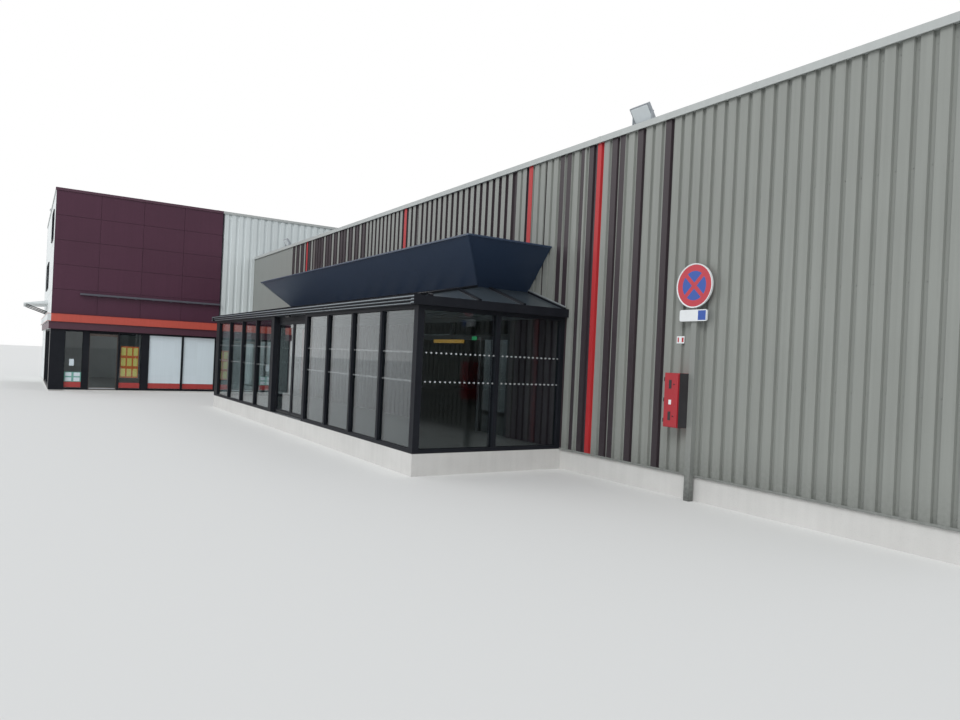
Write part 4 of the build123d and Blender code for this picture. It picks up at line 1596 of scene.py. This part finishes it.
@dataclass
class Wing:
    """Taller shop wing: cassettes, ribbed walls, fascia and upper windows.

    Attributes:
        wall: The thickness of its walls.
        rib_pitch: The distance between ribs.
        rib_depth: How far a rib stands out.
        screw: The radius and the height of a screw's head.
        screw_levels: The heights of the rows of screws.
        strip: The height of the fascia's lower strip.
        strip_reach: How far the strip stands out.
        band_reach: How far the band over it stands out.
        lamp_pitch: The distance between lamps on the rail.
        cassette: The width of a cassette.
        windows: Each upper window's offset from the corner, width and drop.
        window_height: The height of the windows.
        casing: The width of a window's casing, and how far it stands out.
        sill: How far a sill reaches past its window, how far it stands out, and its thickness.
        bar: Half the width of a window's middle bar, its setback, its depth and the gap at its ends.
        lamp: From the rail's edge to a lamp's back and front, half its width, and its height.
        brace: The width and the depth of the rail's braces, and how far they end from its edge.
    """

    wall: float = 0.2
    rib_pitch: float = 0.3
    rib_depth: float = 0.04
    screw: Pair = (0.008, 0.007)
    screw_levels: Row = (0.5, 1.9, 3.3, 4.7, 6.1, 7.4)
    strip: float = 0.28
    strip_reach: float = 0.06
    band_reach: float = 0.12
    lamp_pitch: float = 0.65
    cassette: float = 1.5325
    windows: tuple[Triple, ...] = ((1.3, 1.5, 1.7), (5.6, 2.6, 3.4))
    window_height: float = 1.1
    casing: Pair = (0.05, 0.04)
    sill: Triple = (0.04, 0.05, 0.03)
    bar: Row = (0.025, 0.035, 0.05, 0.06)
    lamp: Row = (0.05, 0.005, 0.035, 0.03)
    brace: Triple = (0.02, 0.008, 0.02)

    def __post_init__(self) -> None:
        """Find the wing."""
        self.front_low, self.front_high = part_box("wing_front_wall")
        self.end_low, self.end_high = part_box("wing_end_wall")
        self.outer_low, self.outer_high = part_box("wing_outer_wall")
        self.back_low, self.back_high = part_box("wing_back_wall")
        self.band_low, self.band_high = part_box("wing_front_fascia")
        self.face, self.front, self.top = self.front_high.x, self.end_low.y, self.end_high.z
        self.end_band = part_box("wing_end_fascia")[0]
        self.capping = TwoToneCapping("wing_capping_sheet", self.face - self.wall - 0.01,
                                      self.front_high.y)
        self.band = PaintedSheet("orange_fascia", Paint.ORANGE, NO_SPLASH, (WHOLE, 2.0, WHOLE),
                                 strength=0.8)

    def finishes(self) -> None:
        """Dress the carried-over nodes."""
        dress(PaintedSheet("aubergine_cassettes", Paint.AUBERGINE, NO_SPLASH, (WHOLE, self.cassette, 1.0),
                           0.0, (0.0, self.front, self.band_high.z), shine=0.3), "wing_front_wall")
        dress(PaintedSheet("ribbed_white_sheet", Paint.RIB_WHITE, strength=0.7), "wing_inner_wall",
              "wing_outer_wall", "wing_back_wall")
        side, face, pier = 0.005, 0.004, 0.05
        # The openings' reveals, the wall's inner side and the shopfront corner under the end fascia get
        # painted shade.
        dress(EndWallSheet("white_panels", Paint.WHITE, NO_SPLASH, (1.9, WHOLE, 0.95), 0.012,
                           (self.face, 0.0, self.top),
                           shaded_edges_from=(self.end_low.x + side, self.front + face),
                           shaded_corner_from=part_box("end_glazing_frame")[0].x - pier,
                           shaded_corner_top=self.end_band.z), "wing_end_wall")
        dress(self.band, "wing_front_fascia")
        dress(PaintedSheet("white_fascia", Paint.WHITE, NO_SPLASH, (2.4, WHOLE, WHOLE)), "wing_end_fascia")
        dress(PaintedSheet("canopy_sheet", Paint.WHITE, NO_SPLASH, (0.38, WHOLE, WHOLE), 0.02), "end_canopy")
        dress(self.capping, "wing_capping")
        dress(Slab("wing_slab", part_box("wing_base")[1].z), "wing_base")
        dress(FRAME_COAT, "upper_window_frames", "end_glazing_frame")
        dress(ClearGlass("wing_glass"), "upper_window_glass", "end_glazing_glass")
        dress(PowderCoat("rail_coat", Paint.RAIL, roughness=0.4), "wing_light_rail")

    def fascia_strip(self) -> None:
        """Face the lower fascia strip with its darker sheet and edge the band, round the corner."""
        low, high, end = self.band_low, self.band_high, self.end_band.x
        strip_top, reach, sheet, gap = low.z + self.strip, self.strip_reach, 0.006, 0.002
        face, front, level = self.face + reach, low.y - reach, (low.z, strip_top - gap)
        Workpiece().bars([(face, face + sheet, front, high.y, *level),
                          (end, face, front - sheet, front, *level)], FINE_EASE).piece(
            "fascia_strip", PaintedSheet("aubergine_strip", Paint.STRIP_AUBERGINE, NO_SPLASH,
                                         (2.0, 2.0, WHOLE)), "maroon_panel")
        face, front, proud, edge = self.face + self.band_reach, low.y - self.band_reach, 0.008, 0.012
        rows = [row for z in (strip_top + 2 * gap, high.z - edge)
                for row in ((face, face + proud, front, high.y, z, z + edge),
                            (end, face + proud, front - proud, front, z, z + edge))]
        Workpiece().bars(rows, FINE_EASE).piece("fascia_edges", self.band, "orange_band")

    def trims(self) -> None:
        """Cover the wing's corners and the end of the cassettes."""
        leg, proud, foot = 0.09, 0.006, 0.06
        cover, before, past = 0.012, 0.01, 0.03
        left, back, edge = self.outer_low.x, self.back_high.y, self.front_high.y
        front = (self.front - proud, self.front - SKIN)
        Workpiece().bars([(self.face - leg, self.face, *front, self.band_high.z, self.top),
                          (left - proud, left + leg, *front, foot, self.top),
                          (left - proud, left + leg, back + SKIN, back + proud, foot, self.top)], FINE_EASE
                         ).piece("wing_corner_trims", PaintedSheet("white_trim", Paint.WHITE), "white_panel")
        Workpiece().bars([(self.face + SKIN, self.face + cover, edge - before, edge + past,
                           self.front_low.z, self.top)], EASE).piece(
            "cassette_end_trim", FRAME_COAT, "dark_frame")

    def screws(self) -> None:
        """Set screws in the valleys of the ribbed walls."""
        low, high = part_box("wing_inner_wall")
        count = rib_count(low.y, high.y, self.rib_pitch)
        start = (low.y + high.y) / 2 - count * self.rib_pitch / 2
        hall_front, hall_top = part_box("hall_front_wall_left")[0].y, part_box("hall_capping")[1].z
        face, outer = self.face - self.rib_depth, self.outer_low.x + self.rib_depth
        back, levels = self.back_high.y - self.rib_depth, self.screw_levels
        inner_ys = [start + i * self.rib_pitch for i in range(1, count)]
        outer_ys = steps(self.outer_low.y, self.outer_high.y, 2 * self.rib_pitch)
        back_xs = steps(self.back_low.x, self.back_high.x, 2 * self.rib_pitch)
        work = Workpiece().studs([(face, y, z) for y in inner_ys for z in levels
                                  if y <= hall_front or z >= hall_top], Facing.RIGHT, *self.screw)
        work.studs([(outer, y, z) for y in outer_ys for z in levels], Facing.LEFT, *self.screw)
        work.studs([(x, back, z) for x in back_xs for z in levels], Facing.BACK, *self.screw)
        work.piece("wing_screws", ALUMINIUM, "capping")

    def window_trims(self) -> None:
        """Add sills, casings and middle bars to the upper windows."""
        work = Workpiece()
        (side, proud), (past, out, thick), (half, setback, depth, gap) = self.casing, self.sill, self.bar
        front = (self.front - proud, self.front - SKIN)
        bar = (self.front + setback, self.front + setback + depth)
        for offset, width, drop in self.windows:
            right, sill = self.face - offset, self.top - drop
            left, head = right - width, sill + self.window_height
            middle = (left + right) / 2
            work.bars([(left - past, right + past, self.front - out, self.front + past, sill - thick, sill)],
                      ease=0.005)
            work.bars([(left - side, left, *front, sill, head), (right, right + side, *front, sill, head),
                       (left - side, right + side, *front, head, head + side)], EASE)
            work.bars([(middle - half, middle + half, *bar, sill + gap, head - gap)], WIDE_EASE)
        work.piece("window_sills", FRAME_COAT, "dark_frame")

    def rail_lamps(self) -> None:
        """Hang small lamps under the light rail and brace it."""
        low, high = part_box("wing_light_rail")
        work = Workpiece()
        (back, front, half, height), (width, depth, end) = self.lamp, self.brace
        for y in steps(low.y, high.y, self.lamp_pitch):
            work.bars([(high.x - back, high.x - front, y - half, y + half, low.z - height, low.z)],
                      ease=0.006)
            work.beam((self.face, y, high.z), (high.x - end, y, high.z), width, depth)
        work.piece("rail_lamps", PowderCoat("rail_lamp_coat", Paint.RAIL, roughness=0.3), "lamp_grey")

    def canopy_brackets(self) -> None:
        """Brace the end canopy with three sloping brackets."""
        low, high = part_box("end_canopy")
        work, inset, half = Workpiece(), 0.3, 0.015
        heels, tips = (0.32, 0.27), ((0.12, 0.005), (0.06, -0.01))
        outline = [(self.front, low.z - drop) for drop in heels]
        outline += [(low.y + back, low.z + rise) for back, rise in tips]
        for x in (low.x + inset, (low.x + high.x) / 2, high.x - inset):
            work.prism([(x - half, *corner) for corner in outline], (2 * half, 0, 0))
        work.piece("canopy_brackets", FRAME_COAT, "dark_frame")

    def build(self) -> None:
        """Dress the wing and add its small pieces."""
        self.finishes()
        self.fascia_strip()
        self.trims()
        self.screws()
        straps("wing_capping", width=0.26, left_side=True).piece("wing_capping_straps", self.capping,
                                                               "capping")
        self.window_trims()
        self.rail_lamps()
        self.canopy_brackets()


@dataclass
class Shopfront:
    """Shopfront of the wing: frames, door, films and strips behind the glass.

    Attributes:
        first_pane: The width of the pane beside the door.
        pier: The width of the pier after it.
        mullion: The width of the mullion between the two wide panes.
        margin: From a film's edge to the frame.
        strip: From the foot of the glass up to the foot and to the top of the strip along it.
        film_out: From the glass out to a film's face.
        film_gap: From a strip up to the film over it.
        poster: The height of the poster beside the corner.
        notice: The ends of the notice over it along Y and along Z, from the poster's corner.
        board_depth: From the glass back to the board's back and to its face.
        board_side: From the pane's edge to the board.
        cards: The number of cards side by side, and of rows.
        card: The field of one card on the board, along Y and Z.
        board_level: The level of the board's foot.
        bead: The width and the depth of a glazing bead.
        pull: The pull plate's ends from the leaf's edge, its levels and its thickness.
        kick: The kick plate's ends from the leaf's edges, its levels over the foot, and its thickness.
    """

    first_pane: float = 0.79
    pier: float = 0.28
    mullion: float = 0.06
    margin: float = 0.016
    strip: Pair = (0.03, 0.24)
    film_out: float = 0.003
    film_gap: float = 0.005
    poster: float = 0.38
    notice: Row = (0.15, 0.31, 0.62, 0.88)
    board_depth: Pair = (0.024, 0.008)
    board_side: float = 0.05
    cards: tuple[int, int] = (3, 3)
    card: Pair = (0.22, 0.42)
    board_level: float = 0.55
    bead: Pair = (0.014, 0.012)
    pull: Row = (0.015, 0.04, 0.85, 1.35, 0.006)
    kick: Row = (0.07, 0.02, 0.07, 0.004)

    def __post_init__(self) -> None:
        """Find the panes."""
        self.low, self.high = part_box("shopfront_right_glass")
        left_low, left_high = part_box("shopfront_left_glass")
        wide = (self.high.y - self.low.y - self.first_pane - self.pier - self.mullion) / 2
        first_end = self.low.y + self.first_pane
        self.corner_pane = (left_low.y, left_high.y)
        self.filmed_panes = [(first_end + self.pier, first_end + self.pier + wide),
                             (self.high.y - wide, self.high.y)]
        self.panes = [self.corner_pane, (self.low.y, first_end), *self.filmed_panes]
        self.film = (self.high.x + SKIN, self.high.x + self.film_out)
        self.strip_level = tuple(self.low.z + rise for rise in self.strip)
        self.film_foot = self.strip_level[1] + self.film_gap

    def finishes(self) -> None:
        """Dress the carried-over nodes."""
        dress(FRAME_COAT, *pair("shopfront_{}_frame"), "shopfront_door_header")
        dress(PowderCoat("bronze_coat", Paint.BRONZE, roughness=0.36, metallic=0.4), "shopfront_door_leaf")
        dress(ClearGlass("shop_glass", tint=(0.84, 0.88, 0.88, 1.0)), *pair("shopfront_{}_glass"),
              "shopfront_door_glass")

    def films(self) -> None:
        """Stick a plain pale film on the wide panes."""
        Workpiece().bars([(*self.film, y0 + self.margin, y1 - self.margin, self.film_foot,
                           self.high.z - self.margin) for y0, y1 in self.filmed_panes]).piece(
            "window_films", PaintedSheet("pale_film", Paint.FILM, NO_SPLASH, (WHOLE, 0.9, 0.7),
                                         roughness=0.5, strength=0.4), "sign_white")

    def papers(self) -> None:
        """Hang a board of plain cards behind the pane beside the door, and papers at the corner."""
        (width, height), (across, down) = self.card, self.cards
        depth = (self.low.x - back for back in self.board_depth)
        start, foot = self.low.y + self.board_side, self.board_level
        Workpiece().bars([(*depth, start, start + across * width, foot, foot + down * height)],
                         EASE).piece("notice_board", PaperCards("plain_cards", (start, foot), self.card,
                                                                Paint.CARD_ORANGE, Paint.CARD_YELLOW),
                                     "orange_band")
        y0, y1 = self.corner_pane[0] + self.margin, self.corner_pane[1] - self.margin
        foot = self.film_foot
        Workpiece().bars([(*self.film, y0, y1, foot, foot + self.poster)]).piece(
            "window_poster", PaperCards("pale_papers", (y0, foot), ((y1 - y0) / 2, self.poster / 2),
                                        Paint.CARD_GREEN, Paint.FILM), "sign_white")
        left, right, low, high = self.notice
        Workpiece().bars([(*self.film, y0 + left, y0 + right, foot + low, foot + high)]).piece(
            "window_notice", PaintedSheet("pale_paper", Paint.FILM, NO_SPLASH, strength=0.5), "sign_white")

    def strips(self) -> None:
        """Run a plain red strip along the foot of each pane."""
        Workpiece().bars([(*self.film, y0 + self.margin, y1 - self.margin, *self.strip_level)
                          for y0, y1 in self.panes]).piece(
            "window_strips", PaintedSheet("strip_red_sheet", Paint.STRIP_RED, NO_SPLASH), "orange_band")

    def beads(self) -> None:
        """Frame each pane with glazing beads outside."""
        work = Workpiece()
        size, out = self.bead
        for y0, y1 in self.panes:
            work.bead_frame((self.high.x, self.high.x + out, y0, y1, self.low.z, self.high.z), size,
                            along_x=False)
        work.piece("shopfront_beads", FRAME_COAT, "dark_frame")

    def leaf_plates(self) -> None:
        """Screw a pull plate and a kick plate on the door leaf."""
        low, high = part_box("shopfront_door_leaf")
        near, far, *levels, thick = self.pull
        pull = (high.x, high.x + thick, low.y + near, low.y + far, *levels)
        inset, foot, head, thick = self.kick
        kick = (high.x, high.x + thick, low.y + inset, high.y - inset, low.z + foot, low.z + head)
        Workpiece().bars([pull], FINE_EASE).bars([kick], PLATE_EASE).piece(
            "shop_leaf_plates", ALUMINIUM, "capping", "shop_leaf")

    def build(self) -> None:
        """Dress the shopfront and add its small pieces."""
        self.finishes()
        self.films()
        self.papers()
        self.strips()
        self.beads()
        self.leaf_plates()


@dataclass
class WallFittings:
    """Wall cabinet, road sign on its post, notice plate and floodlights.

    Attributes:
        latch: Half the width, half the height and the depth of a latch plate.
        latch_shift: From the cabinet's middle to the left, to the latches' middle.
        latch_level: From the cabinet's foot and head to a latch's middle.
        hinge: How far a hinge stands out, its two ends along Y, half its height, and the inset of
            the outer ones.
        lock: From a latch's middle to its lock, and the lock's radius and height.
        label: The label's ends along X and Z, from the middle of the latches.
        rim: How far the disc's rim reaches in over it and out past it, and its depth.
        clamp: How far a clamp reaches past the post, its depth and half its height.
        clamp_level: From the disc's middle to the clamps over and under it.
        tilt: How far a floodlight's head is tipped forwards, in degrees.
        lamp_size: Half of a floodlight head's width, length and height.
        lamp_lift: From its foot to the head's middle.
        lamp_setback: From the wall's face back to the head's middle.
        lens_inset: From the head's edge to the lens, and the lens's thickness.
        fin: Half the thickness, the height and the inset of a cooling fin.
        fin_pitch: The distance between cooling fins.
        notice_place: The notice plate's left edge and foot.
        notice_size: Its width, thickness and height.
        marks: The ends of its two marks along X, from its left edge.
        mark_level: The ends of both along Z, from its foot, and their thickness.
    """

    latch: Triple = (0.025, 0.065, 0.006)
    latch_shift: float = 0.02
    latch_level: float = 0.17
    hinge: Row = (0.008, 0.004, 0.03, 0.03, 0.1)
    lock: Triple = (0.07, 0.011, 0.008)
    label: Row = (-0.02, 0.03, -0.065, 0.005)
    rim: Triple = (0.005, 0.004, 0.008)
    clamp: Triple = (0.012, 0.03, 0.02)
    clamp_level: float = 0.16
    tilt: float = 55.0
    lamp_size: Triple = (0.205, 0.155, 0.03)
    lamp_lift: float = 0.17
    lamp_setback: float = 0.08
    lens_inset: Pair = (0.02, 0.006)
    fin: Triple = (0.003, 0.02, 0.03)
    fin_pitch: float = 0.03
    notice_place: Pair = (15.57, 2.33)
    notice_size: Triple = (0.15, 0.004, 0.11)
    marks: tuple[Pair, ...] = ((0.02, 0.045), (0.10, 0.135))
    mark_level: Triple = (0.02, 0.09, 0.002)

    def cabinet(self) -> None:
        """Dress the red cabinet and add its latches, hinges, label and a dark sheet of painted shade on its
        right side.
        """
        low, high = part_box("wall_cabinet")
        dress(Enamel("cabinet_enamel", Paint.CABINET), "wall_cabinet")
        x, middle = (low.x + high.x) / 2 - self.latch_shift, (low.z + high.z) / 2
        half_width, half_height, depth = self.latch
        latches = (low.z + self.latch_level, high.z - self.latch_level)
        work = Workpiece().bars([(x - half_width, x + half_width, low.y - depth, low.y, z - half_height,
                                  z + half_height) for z in latches], FINE_EASE)
        out, start, end, half, inset = self.hinge
        work.bars([(low.x - out, low.x, low.y + start, low.y + end, z - half, z + half)
                   for z in (low.z + inset, middle, high.z - inset)], FINE_EASE)
        shift, radius, height = self.lock
        work.studs([(x + shift, low.y, z) for z in latches], Facing.FRONT, radius, height, sides=12)
        work.piece("cabinet_latches", PowderCoat("latch_black", Paint.CABINET_BLACK_AND_SHADE), "dark_frame")
        left, right, foot, head = self.label
        thin, door = 0.002, 0.012
        Workpiece().bars([(x + left, x + right, low.y - thin, low.y, middle + foot, middle + head)]
                         ).piece("cabinet_label", Enamel("label_white", Paint.SIGN_WHITE), "sign_white")
        # A dark sheet over the cabinet's right side: painted shade.
        Workpiece().bars([(high.x, high.x + thin, low.y + door, high.y - SKIN, low.z + SKIN,
                           high.z - SKIN)]).piece(
            "cabinet_side_painted_shade", PowderCoat("cabinet_side_shade_coat", Paint.CABINET_BLACK_AND_SHADE), "red_cabinet")

    def road_sign(self) -> None:
        """Print the disc and the plate, and add rims and clamps."""
        low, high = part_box("sign_disc")
        x, z, radius = (low.x + high.x) / 2, (low.z + high.z) / 2, (high.z - low.z) / 2
        dress(NoStoppingFace("no_stopping_face", (x, low.y, z)), "sign_disc")
        (inner, outer, depth), overlap = self.rim, 0.002
        Workpiece().ring((x, low.y + overlap, z), radius - inner, radius + outer, depth).piece(
            "sign_rim", Enamel("rim_white", Paint.SIGN_WHITE), "sign_white")
        plate_low, plate_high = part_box("sign_plate")
        dress(PlateFace("plate_face", tuple(plate_low), tuple(plate_high)), "sign_plate")
        dress(PaintedSheet("post_paint", Paint.BEIGE_SMOOTH, PLINTH_TOP), "sign_post")
        low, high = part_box("sign_post")
        (past, depth, half), apart = self.clamp, self.clamp_level
        Workpiece().bars([(low.x - past, high.x + past, low.y, low.y + depth, level - half, level + half)
                          for level in (z + apart, z - apart, (plate_low.z + plate_high.z) / 2)], EASE
                         ).piece("sign_clamps", ALUMINIUM, "lamp_grey")

    def notice(self) -> None:
        """Fix a small bare plate on the wall beside the post."""
        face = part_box("hall_front_wall_right")[0].y
        (x, z), (width, thick, height), (foot, head, thin) = (
            self.notice_place, self.notice_size, self.mark_level)
        front = face - thick
        Workpiece().bars([(x, x + width, front, face, z, z + height)], PLATE_EASE).piece(
            "notice_plate", Enamel("notice_white", Paint.SIGN_WHITE), "sign_white")
        Workpiece().bars([(x + x0, x + x1, front - thin, front, z + foot, z + head)
                          for x0, x1 in self.marks]).piece(
            "notice_marks", Enamel("notice_red", Paint.PLANK_RED), "red_cabinet")

    def floodlight(self, node: str, wall: str) -> None:
        """Dress one floodlight and add its lens and cooling fins.

        Args:
            node: The floodlight's node.
            wall: The wall that it stands on.
        """
        low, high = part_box(node)
        dress(PowderCoat("lamp_coat", Paint.LAMP, roughness=0.45), node)
        middle = ((low.x + high.x) / 2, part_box(wall)[0].y + self.lamp_setback, low.z + self.lamp_lift)
        turn = Matrix.Translation(middle) @ Matrix.Rotation(math.radians(-self.tilt), 4, "X")
        (width, length, height), (rim, thick), (fin, rise, inset) = (
            self.lamp_size, self.lens_inset, self.fin)
        Workpiece().bars([(rim - width, width - rim, rim - length, length - rim, -height - thick, -height)],
                         FINE_EASE).turned(turn).piece(
            node + "_lens", Glow("lamp_lens", Paint.LAMP_LENS, power=0.05), "lamp_grey")
        Workpiece().bars([(x - fin, x + fin, inset - length, length - inset, height, height + rise)
                          for x in steps(-width, width, self.fin_pitch)]).turned(turn).piece(
            node + "_fins", PowderCoat("fin_coat", Paint.LAMP, roughness=0.5), "lamp_grey")

    def build(self) -> None:
        """Dress all fittings."""
        self.cabinet()
        self.road_sign()
        self.notice()
        self.floodlight("floodlight_left", "hall_front_wall_left")
        self.floodlight("floodlight_right", "hall_front_wall_right")
        self.floodlight("floodlight_wing", "wing_end_wall")


@dataclass
class Studio:
    """Pale floor, white surroundings, soft lamps and the camera.

    Attributes:
        floor_size: The side of the floor.
        surround: The strength of the light from all around.
        key: The main lamp's strength, the way towards it and its apparent width in degrees.
        fill: The same of the second lamp.
        sensor: The width of the camera's sensor in millimetres.
        lens: The focal length over the picture's width.
        far: How far the camera sees.
        stand: Where the camera stands along X, in front of the hall's front wall and over the ground.
        yaw: How far it looks round from +Y to -X, in degrees.
        pitch: How far it looks up.
        roll: How far it leans.
    """

    floor_size: float = 400.0
    surround: float = 0.70
    key: tuple[float, Point, float] = (1.25, (0.44, -0.68, 0.60), 30.0)
    fill: tuple[float, Point, float] = (0.30, (-0.6, -0.5, 0.6), 40.0)
    sensor: float = 36.0
    lens: float = 711.6 / 960
    far: float = 1000.0
    stand: Triple = (23.1, 8.40, 1.95)
    yaw: float = 57.25
    pitch: float = -0.06
    roll: float = -2.65

    def floor(self) -> None:
        """Lay the floor."""
        work = Workpiece()
        bmesh.ops.create_grid(work.mesh, x_segments=1, y_segments=1, size=self.floor_size / 2)
        work.made("studio_floor", StudioFloor("studio_floor"))

    def surroundings(self) -> None:
        """Light the scene from all around, with a white background."""
        world = bpy.data.worlds.new("studio")
        bpy.context.scene.world = world
        world.use_nodes = True
        graph = Graph(world.node_tree)
        rays = graph.node("ShaderNodeLightPath").outputs
        seen = reduce(Signal.highest, (Signal(graph, rays[f"Is {kind} Ray"])
                                       for kind in ("Camera", "Glossy", "Transmission")))
        light, white = (graph.node("ShaderNodeBackground", inputs={0: colour, 1: strength}).outputs[0]
                        for colour, strength in (((0.93, 0.96, 1.0, 1.0), self.surround),
                                                 ((1.0, 1.0, 1.0, 1.0), 1.0)))
        graph.close(graph.blend(seen, light, white), "ShaderNodeOutputWorld")

    def lamp(self, name: str, strength: float, direction: Point, softness: float) -> None:
        """Add a soft distant lamp.

        Args:
            name: Its name.
            strength: Its strength.
            direction: The way towards it.
            softness: Its apparent width in degrees.
        """
        data = bpy.data.lights.new(name, "SUN")
        data.energy = strength
        data.angle = math.radians(softness)
        lamp = bpy.data.objects.new(name, data)
        lamp.rotation_euler = Vector(direction).to_track_quat("Z", "Y").to_euler()
        bpy.context.scene.collection.objects.link(lamp)

    def camera(self) -> None:
        """Stand the camera where the photograph was taken."""
        yaw, pitch, roll = (math.radians(angle) for angle in (self.yaw, self.pitch, self.roll))
        forward = Vector((-math.sin(yaw) * math.cos(pitch), math.cos(yaw) * math.cos(pitch), math.sin(pitch)))
        level_right = Vector((math.cos(yaw), math.sin(yaw), 0))
        level_down = forward.cross(level_right)
        right = level_right * math.cos(roll) + level_down * math.sin(roll)
        down = level_down * math.cos(roll) - level_right * math.sin(roll)
        data = bpy.data.cameras.new("camera")
        data.sensor_width = self.sensor
        data.lens = self.lens * self.sensor
        data.clip_end = self.far
        camera = bpy.data.objects.new("camera", data)
        turn = Matrix((right, -down, -forward)).transposed().to_4x4()
        x, distance, height = self.stand
        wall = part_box("hall_front_wall_left")[0].y
        camera.matrix_world = Matrix.Translation((x, wall - distance, height)) @ turn
        bpy.context.scene.collection.objects.link(camera)
        bpy.context.scene.camera = camera

    def build(self) -> None:
        """Set the floor, the lights and the camera."""
        self.floor()
        self.surroundings()
        self.lamp("key_lamp", *self.key)
        self.lamp("fill_lamp", *self.fill)
        self.camera()
        bpy.context.scene.view_settings.view_transform = "Standard"


def main() -> None:
    """Build every sub-assembly in order."""
    logging.basicConfig(level=logging.INFO, format="%(name)s %(message)s")
    for assembly in (HallWalls(), Roofs(), Vestibule(), SignBox(), InnerEntrance(), Wing(), Shopfront(),
                     WallFittings(), Studio()):
        log.info("building %s", type(assembly).__name__)
        assembly.build()


if __name__ == "__main__":
    main()
